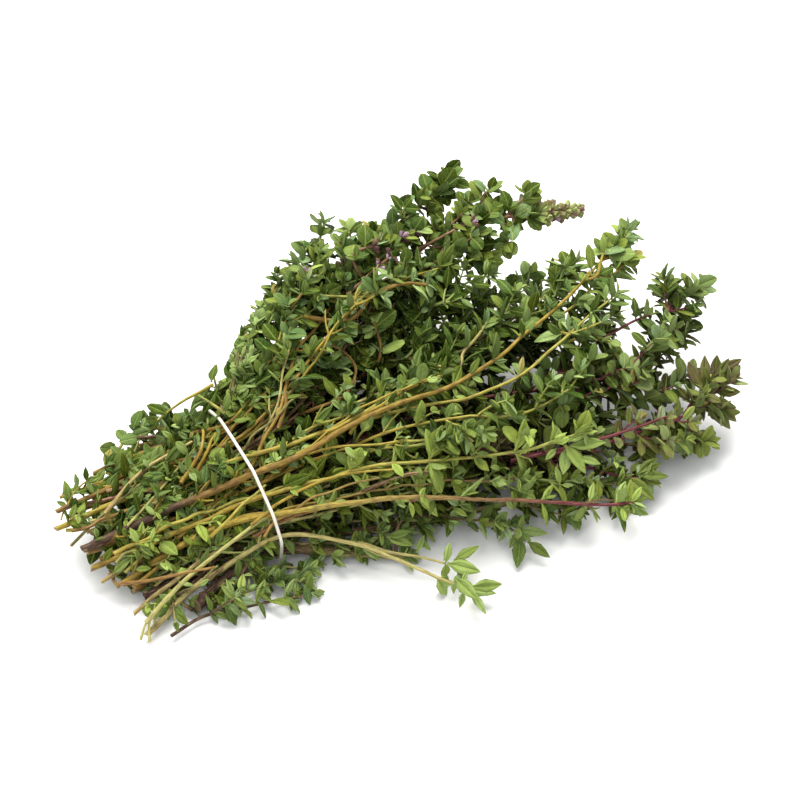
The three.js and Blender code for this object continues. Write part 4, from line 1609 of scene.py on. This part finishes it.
shoot(27, (-4, 25, 36), (4, 25, 42), (10, 24, 44), (15, 24, 43), (21, 24, 40), bare=14, show=0.9,
      showFrom=0.45, radius=0.8, age=(0.1, 0.2), tone=0.6, spacing=7, branch=0, head=4)
shoot(27, (-36, 4, 27), (-31, 9, 30), (-30, 12, 32), (-24, 22, 37), (-19, 30, 39), (-13, 35, 43),
      (-5, 44, 43), cut=True, bare=48, head=3, show=0.85, radius=0.6, age=(0.1, 0.2), branch=0.0)
shoot(27, (4, 25, 42), (5, 26, 46), (8, 29, 49), bare=4, radius=0.4, tone=0.6, branch=0, head=3)
shoot(28, (-72, 24, 15), (-68, 28, 16), (-66, 31, 17), **bareTwig, tone=0.6, radius=0.35,
      bladeShape="oval", warm=0.3,
      blades=[(-68, 32, 17, -64, 36, 19), (-59, 32, 18, -61, 37, 19), (-60, 32, 18, -65, 32, 17),
              (-64, 29, 17, -70, 30, 16), (-67, 29, 16, -73, 31, 15), (-71, 30, 15, -72, 35, 16),
              (-73, 17, 18, -65, 17, 20), (-73, 11, 19, -68, 9, 20), (-75, 25, 16, -76, 29, 17)])
shoot(28, (-24, 20, 30), (-25, 32, 31), (-23, 38, 32), tone=0.62)
shoot(28, (-43, 28, 20), (-42, 33, 21), (-41, 37, 22), tone=0.46)
shoot(28, (-72, 1, 14), (-48, 5, 21), (-42, 6, 28), (-36, 6, 31), (-28, 9, 31), **bareTwig, radius=0.5)

longShootLook = {
    # what these have unless their own row says otherwise
    "share": 0.6,  # it counts as growing this far along its sprig
    "foot": 3,  # mm that it leaves its sprig before its first point
    "branchLength": (6, 12),
    "radius": 0.5,
    "bare": 5,  # mm before its first leaves
    "show": 0.0,
    "showFrom": 0.0,
    "showTo": 1.0,
    "whorls": (),  # mm from the tip at which small flowers sit
    "blades": (),  # single leaves: foot and tip, in mm
    "bladeShape": "lance",
}
remainSettings = {
    # the leaves that are left on the bare part of a stem
    "broadLeaf": 0.9,  # their length against the sprig's own, where those are broad
    "slimLeaf": 0.82,
    "lengths": (0.7, 1.5),  # how they differ
    "branchLength": (4, 8),
    "facing": 1.6,
    "tone": 0.5,  # at most
    "leaves": 0.75,  # chance of a leaf, and below of a side shoot and its tone, and of a tuft
    "behind": (0.35, 0.04),
    "sparse": (0.1, -0.1),
    "tufts": 0.5,
    "tuftLeaf": 0.75,
    "share": 0.5,  # the side shoots count as growing this far along the stem
    "angle": (35, 75),
    "step": (4.5, 7.0),  # mm
    "clear": 3,  # mm to each side of the band
    "before": 3,  # mm before the sprig's own leaves begin
}


def growRemains(foliage, stems, rng, look, line, begin, stop, radii):
    # the small leaves that are left on the bare part of a stem
    rest = remainSettings
    broad = look["shape"] in ("broad", "round")
    small = {**look, "leaf": look["leaf"] * rest["broadLeaf" if broad else "slimLeaf"],
             "shape": "oval" if look["shape"] == "round" else "lance", "facing": rest["facing"],
             "tone": min(look["tone"], rest["tone"]), "branchLength": rest["branchLength"]}
    distance, roll, knots = begin, rng.uniform(0, 2 * math.pi), []
    while distance < stop:
        x = line.at(distance)[0][0]
        part = "behind" if x < bandX else "sparse"
        branching, brighter = rest[part]
        if abs(x - bandX) > rest["clear"] * mm and rng.random() < look[part]:
            for flip in (0, math.pi):
                point, tangent, radial = directions(line, distance, roll + flip)
                base = point + radial * np.interp(distance, line.far, radii) * pairSettings["foot"]
                choice = rng.random()
                if choice < branching:
                    growBranch(foliage, stems, rng, small, base, tangent, radial, rest["share"])
                elif choice < rest["tufts"]:
                    addTuft(foliage, rng, small, base, tangent, radial, small["leaf"] * rest["tuftLeaf"])
                if rng.random() < rest["leaves"]:
                    addLeaf(foliage, rng, small, base, tangent, radial, rng.uniform(*rest["angle"]),
                            small["leaf"] * rng.uniform(*rest["lengths"]), small["tone"] + brighter)
            knots.append(distance)
        roll += math.pi / 2
        distance += rng.uniform(*rest["step"]) * mm
    return knots


companionSettings = {
    # the thinner stems beside the first one, in mm
    "begin": (0.5, 14),  # past the first one's cut end
    "end": 0.88,  # share of the first one's way, at most
    "awayBehind": (2, 7),  # from the first one, at the cut end
    "awayPast": (3, 7),  # and past the band
    "awayInBand": 1.3,
    "step": 4,
    "wander": 0.28,
    "aboveFloor": 1.2,
    "radius": (0.34, 0.56),
    "age": (0, 0.7),  # at the cut end
    "taper": (1.15, 0.5),  # thickness at the cut end, and what is lost on the way, as shares
    "leaf": 0.86,  # length of the leaves against the sprig's own
    "branch": 0.25,
    "branchLength": (4, 9),
    "bare": (4, 9),  # before the first leaves
    "behind": 0.6,  # chance of leaves behind the band, against the first one's
    "pastBand": 10,  # bare at least this far
    "flush": 0.7,
}


def growCompanion(foliage, stems, rng, look, line, settings):
    # a thinner stem from the same root that runs beside the first one, under the band and past it
    bandFar = line.far[np.argmin(np.abs(line.points[:, 0] - bandX))]
    begin = rng.uniform(*settings["begin"]) * mm
    end = min(line.length * settings["end"], bandFar + rng.uniform(*look["reach"]) * mm)
    before, after = rng.uniform(0, 2 * math.pi, 2)
    wide, wider = (rng.uniform(*settings[name]) * mm for name in ("awayBehind", "awayPast"))
    points = []
    for distance in np.arange(begin, end, settings["step"] * mm):
        point, _, normal, side = line.at(distance)
        inward = unit(np.array([0, *(bandCentre[1:] - point[1:])]))
        if distance < bandFar:
            share = (distance - begin) / max(bandFar - begin, mm)
            away = between(normal, side, before)
            out = mix(wide, settings["awayInBand"] * mm, share)
        else:
            share = 1 - (distance - bandFar) / (end - bandFar)
            away = mix(between(normal, side, after), -up, look["sink"])
            out = mix(wider, settings["awayInBand"] * mm, share)
        points.append(point + unit(away * (1 - share) + inward * share) * out)
    points = np.array(points) + rng.normal(0, settings["wander"] * mm, (len(points), 3))
    points[:, 2] = np.maximum(points[:, 2], settings["aboveFloor"] * mm)
    own = Line(smoothLine(points, step=0.002))
    radius = rng.uniform(*settings["radius"]) * mm
    leafy = max(bandFar - begin + settings["pastBand"] * mm,
                own.length - rng.uniform(*look["leafyEnd"]) * mm)
    thinner = {**look, "leaf": look["leaf"] * settings["leaf"], "branch": settings["branch"],
               "branchLength": settings["branchLength"]}
    knots = growShoot(foliage, stems, rng, thinner, own, leafy, radius)
    bare = {**thinner, "behind": look["behind"] * settings["behind"]}
    knots += growRemains(foliage, stems, rng, bare, own, rng.uniform(*settings["bare"]) * mm,
                         leafy - remainSettings["before"] * mm, np.full(len(own.far), radius))
    thick, lost = settings["taper"]
    stems.append(newStem(own, radius * (thick - lost * own.far / own.length), knots=knots, rooted=True,
                         age=(min(rng.uniform(*settings["age"]), look["oldTo"]), look["oldTo"]),
                         flush=look["flush"] * settings["flush"]))


sprigSettings = {
    # mm, unless said otherwise
    "tipDepth": 1.0,  # the last of the foliage, whose middle is the sprig's end
    "tipGap": 2,  # the stem goes on to there if it is farther than this
    "tipRadius": 0.3,
    "startDepth": 1.2,  # the first of the foliage, where the leaves begin
    "wanderStep": 7,
    "wanderSide": 0.22,
    "wanderUp": 0.16,
    "rise": 60,  # past the band, over which a sprig that is lifted comes up
    "leafOut": 0.6,  # from the middle of the stem to the foot of a leaf
    "bareEnd": 5,  # without any leaf, at the cut end
    "clearTip": 10,  # without leaf scars
    "seed": 900,  # the sprig's number is added
}


def sprigLine(number, settings):
    # through the CAD stem's rings and on to the end of its foliage, and where that begins
    centres, radii = ringsOf(f"sprig_{number:02d}_stem")
    leaves = meshPoints(f"sprig_{number:02d}_leaves")
    ahead = unit(centres[-1] - centres[-2])
    reach = (leaves - centres[-1]) @ ahead
    tip = leaves[reach > reach.max() - settings["tipDepth"] * mm].mean(0)
    if (tip - centres[-1]) @ ahead > settings["tipGap"] * mm:
        centres = np.vstack([centres, tip])
        radii = np.append(radii, settings["tipRadius"] * mm)
    begin = leaves[:, 0] < leaves[:, 0].min() + settings["startDepth"] * mm
    return centres, radii, leaves[begin].mean(0)


def evenNoise(rng, distances, step, size):
    # a smooth random wander along a line
    count = int(distances[-1] / step) + 3
    knots = rng.normal(0, size, count)
    return np.interp(distances, np.arange(count) * step, knots)


def nearestFar(line, point):
    return line.far[np.argmin(((line.points - point) ** 2).sum(1))]


def bendSprig(rng, look, centres, settings):
    # the CAD's centre line, a little less even, lifted and trimmed as the look says
    line = Line(smoothLine(centres))
    sideways, upwards = (
        evenNoise(rng, line.far, settings["wanderStep"] * mm, settings[name] * mm)[:, None]
        for name in ("wanderSide", "wanderUp")
    )
    line = Line(line.points + (line.sides * sideways + line.normals * upwards))
    past = np.clip((line.points[:, 0] - bandX) / (settings["rise"] * mm), 0, 1)
    rise = past * look["lift"] * mm
    return Line((line.points + rise[:, None] * up)[line.far <= line.length - look["trim"] * mm])


def growLongShoot(foliage, stems, rng, look, line, row):
    # a side shoot whose route is given, with what it carries
    own = {**look, **longShootLook, **row}
    route = np.array(own["route"]) * mm
    if not own["cut"]:
        joint = line.at(max(nearestFar(line, route[0]) - own["foot"] * mm, 0))
        route = np.vstack([joint[0], route])
    twig = addShoot(foliage, stems, rng, own, route, own["share"], own["radius"], bare=own["bare"])
    for place in own["whorls"]:
        addWhorl(rng, twig, place * mm)
    addBlades(foliage, rng, own)


def thickenStem(rng, look, line, radii, knots, settings):
    # the stem's thickness, uneven and swollen at its knots, and rough where it is old wood
    woody = woodAlong(line, look["wood"])
    uneven, rough = (
        evenNoise(rng, line.far, step * mm, size)
        for step, size in (settings["lumps"], settings["woodLumps"])
    )
    reach, bulge = settings["stub"]
    stub = woody * np.exp(-(line.far / (reach * mm)) ** 2)
    swell = nearKnots(line, knots, settings["thickKnot"])
    return radii * (1 + uneven + woody * rough) * (1 + settings["knotSwell"] * swell + bulge * stub)


def growSprig(number):
    look = {**growthSettings, **sprigLooks[number]}
    rng = np.random.default_rng(sprigSettings["seed"] + number)
    centres, ringRadii, leafyFrom = sprigLine(number, sprigSettings)
    line = bendSprig(rng, look, centres, sprigSettings)
    ringFar = [nearestFar(line, centre) for centre in centres]
    radii = np.interp(line.far, ringFar, ringRadii) * look["thin"]
    start = nearestFar(line, leafyFrom)
    if "leafyTip" in look:
        start = line.length - look["leafyTip"] * mm
    foliage, stems = Foliage(), []
    knots = growShoot(foliage, stems, rng, look, line, start, sprigSettings["leafOut"] * mm)
    knots += growRemains(foliage, stems, rng, look, line, sprigSettings["bareEnd"] * mm,
                         start - remainSettings["before"] * mm, radii)
    for _ in range(look["companions"]):
        growCompanion(foliage, stems, rng, look, line, companionSettings)
    for row in longShoots.get(number, []):
        growLongShoot(foliage, stems, rng, look, line, row)
    knots = np.array(sorted(knots))
    radii = thickenStem(rng, look, line, radii, knots, stemBuild)
    main = newStem(line, radii, rooted=True, age=(look["oldFrom"], look["oldTo"]),
                   knots=knots[knots < line.length - sprigSettings["clearTip"] * mm],
                   **{key: look[key] for key in ("flush", "wood", "show", "showFrom", "showTo")})
    return {"look": look, "foliage": foliage, "main": main, "others": stems, "rng": rng}


shadeSettings = {
    # mm
    "cell": 5.0,  # over which the outermost leaves are averaged
    "play": 2.2,  # so much deeper than them counts as outermost too
    "elevation": 40,  # degrees that the light comes from, and round the bunch
    "azimuths": (-28, 62, 152, 242),
    # the next three set the painted light on the outermost leaves and the painted shade on the deep ones
    "bright": 0.09,  # tone that the outermost leaves gain
    "paintedLightDepth": 1.6,
    "paintedShadeDepth": 4.2,
    "youngDepth": 6,  # deeper leaves are small
}


def depthFrom(way, bases, settings):
    # how far each leaf is under the outermost leaves, seen along way
    side = unit(np.cross(way, np.array([0.3, 1.0, 0.1])))
    cells = np.stack([bases @ side, bases @ np.cross(way, side)], 1) / settings["cell"]
    cells = np.floor(cells).astype(int)
    cells -= cells.min(0) - 1
    canopy = np.full(cells.max(0) + 2, -np.inf)
    np.maximum.at(canopy, tuple(cells.T), bases @ way)
    around = [np.roll(canopy, (i, j), (0, 1)) for i in (-1, 0, 1) for j in (-1, 0, 1)]
    filled = [np.isfinite(layer) for layer in around]
    total = sum(np.where(full, layer, 0) for full, layer in zip(filled, around))
    mean = total / np.maximum(sum(filled), 1)
    return np.maximum(mean[tuple(cells.T)] - bases @ way - settings["play"], 0)


def shadeInside(foliages, settings):
    # painted shade and painted light: leaves deep in the bunch are painted darker than those that see
    # the light from some side, and the outermost ones are painted brighter; the deepest ones are small
    bases = np.array([leaf.base for foliage in foliages for leaf in foliage.leaves]) / mm
    ways = [up, *(towards(azimuth, settings["elevation"]) for azimuth in settings["azimuths"])]
    depths = iter(np.min([depthFrom(way, bases, settings) for way in ways], axis=0))
    for foliage in foliages:
        for number, leaf in enumerate(foliage.leaves):
            depth = next(depths)
            tone = leaf.tone + settings["bright"] * math.exp(-depth / settings["paintedLightDepth"])
            shape = "young" if depth > settings["youngDepth"] else leaf.shape
            foliage.leaves[number] = leaf._replace(
                shape=shape, tone=tone * math.exp(-depth / settings["paintedShadeDepth"])
            )


clearSettings = {
    "reach": 2.3,  # mm to each side of a stem that should show
    "middle": 0.45,  # share of a leaf's length at which it is looked at
    "front": 0.3,  # mm that it has to be in front of the stem
    "seed": 77,
}


def clearStems(foliages, stems, settings):
    # takes leaves away in front of the stems that should show
    rng = np.random.default_rng(settings["seed"])
    side = unit(np.cross(up, viewSide))
    flat = np.stack([side, np.cross(viewSide, side)], 1)
    for foliage in foliages:
        middles = np.array([leaf.base + leaf.axis * leaf.length * settings["middle"] * mm
                            for leaf in foliage.leaves])
        keep = np.ones(len(middles), bool)
        for stem in stems:
            line = stem["line"].points
            line = line[int(len(line) * stem["showFrom"]):int(len(line) * stem["showTo"])]
            gaps = (((middles @ flat)[:, None] - (line @ flat)[None]) ** 2).sum(2)
            ahead = (middles - line[gaps.argmin(1)]) @ viewSide
            hides = (gaps.min(1) < (settings["reach"] * mm) ** 2) & (ahead > settings["front"] * mm)
            keep &= ~(hides & (rng.random(len(middles)) < stem["show"]))
        foliage.leaves = [leaf for leaf, kept in zip(foliage.leaves, keep) if kept] + foliage.single


grown = {number: growSprig(number) for number in sorted(sprigLooks)}
foliages = [own["foliage"] for own in grown.values()]
shown = [stem for own in grown.values() for stem in (own["main"], *own["others"]) if stem["show"]]
shadeInside(foliages, shadeSettings)
clearStems(foliages, shown, clearSettings)
for number, own in grown.items():
    bark, node, main, others = own["look"]["bark"], f"sprig_{number:02d}", own["main"], own["others"]
    piece = sweepStems("mainStem", [main], woodyProfile if bark == "woody" else squareProfile)
    slantEnd(piece, main["line"], own["rng"], stemBuild)
    if others:
        choose(sweepStems("sideShoots", others, squareProfile), piece)
        bpy.ops.object.join()
    paintStem(piece, [main, *others], stemBuild)
    finishPiece(piece, f"sprig{number:02d}Stem", f"{node}_stem", stemMaterials[bark])
    leaves = makeFoliagePiece("leaves", own["foliage"], leafMaterial)
    finishPiece(leaves, f"sprig{number:02d}Leaves", f"{node}_leaves", leafMaterial)
print("leaves", sum(len(foliage.leaves) for foliage in foliages),
      "side shoots", sum(len(own["others"]) for own in grown.values()))


def makeFlowerHead(node, stemNode, settings):
    # whorls of calyces from the tip of the stem to the end of the CAD's head
    rng = np.random.default_rng(settings["seed"])
    points, tip = meshPoints(node), ringsOf(stemNode)[0][-1]
    ahead = unit(points.mean(0) - tip)
    reach = (points - tip) @ ahead
    side = unit(np.cross(ahead, up))
    front = np.cross(side, ahead)
    foliage, count = Foliage(), settings["perWhorl"]
    for whorl in range(settings["whorls"]):
        share = whorl / (settings["whorls"] - 1)
        spot = tip + ahead * mix(reach.min(), reach.max() - settings["short"] * mm, share)
        for index in range(count):
            roll = 2 * math.pi * (index + 0.5 * whorl + rng.uniform(*settings["unevenRoll"])) / count
            radial = between(side, front, roll)
            lean = mix(*settings["open"], share) + rng.normal(0, settings["unevenOpen"])
            axis = between(ahead, radial, math.radians(lean))
            size = settings["calyx"] * mix(1.0, settings["smaller"], share) * rng.uniform(*settings["sizes"])
            jitter = ahead * rng.uniform(*settings["along"]) * mm
            foliage.add("calyx", spot + radial * settings["core"] * mm + jitter, axis, ahead, size,
                        tone=rng.uniform(*settings["tone"]),
                        purple=float(rng.random() < settings["petals"]))
    return makeFoliagePiece("head", foliage, flowerMaterial)


print("flowers")
flowerHead = makeFlowerHead("flower_head_1", "sprig_21_stem", flowerSettings)
finishPiece(flowerHead, "flowerHead1", "flower_head_1", flowerMaterial)
finishPiece(makeFoliagePiece("whorls", blossom, flowerMaterial), "flowerWhorls", None,
            flowerMaterial)

print("rubber band")
bandSettings = {
    "points": 132,
    "narrow": 0.62,  # width against the CAD's
    "bevel": 0.25,  # mm
}


def makeBand(settings):
    # a strip round the CAD band's outline, given its thickness and soft edges
    corners = np.vstack([bandOutline, bandOutline[:1]])
    far = np.concatenate([[0], np.cumsum(np.linalg.norm(np.diff(corners, axis=0), axis=1))])
    at = np.linspace(0, far[-1], settings["points"], endpoint=False)
    outline = np.stack([np.interp(at, far, corners[:, axis]) for axis in range(2)], 1)
    outline = (np.roll(outline, 1, 0) + 2 * outline + np.roll(outline, -1, 0)) / 4
    half = bandHalf * settings["narrow"]
    choose()
    bpy.ops.mesh.primitive_circle_add(vertices=settings["points"], radius=0.02, fill_type="NOTHING")
    band = bpy.context.object
    for vertex, (y, z) in zip(band.data.vertices, outline):
        vertex.co = (bandX - half, y, z)
    editAll()
    bpy.ops.mesh.extrude_region_move(TRANSFORM_OT_translate={"value": (2 * half, 0, 0)})
    turnOutwards()
    solidify = band.modifiers.new("thickness", "SOLIDIFY")
    solidify.thickness = bandThickness
    solidify.offset = -1
    bevel = band.modifiers.new("edges", "BEVEL")
    bevel.width = settings["bevel"] * mm
    bevel.segments = 2
    bevel.limit_method = "ANGLE"
    bevel.angle_limit = math.radians(60)
    for modifier in list(band.modifiers):
        bpy.ops.object.modifier_apply(modifier=modifier.name)
    editAll()
    turnOutwards()
    return band


finishPiece(makeBand(bandSettings), "rubberBand", "rubber_band", bandMaterial, 30)

for profile in (squareProfile, woodyProfile):
    bpy.data.objects.remove(profile)
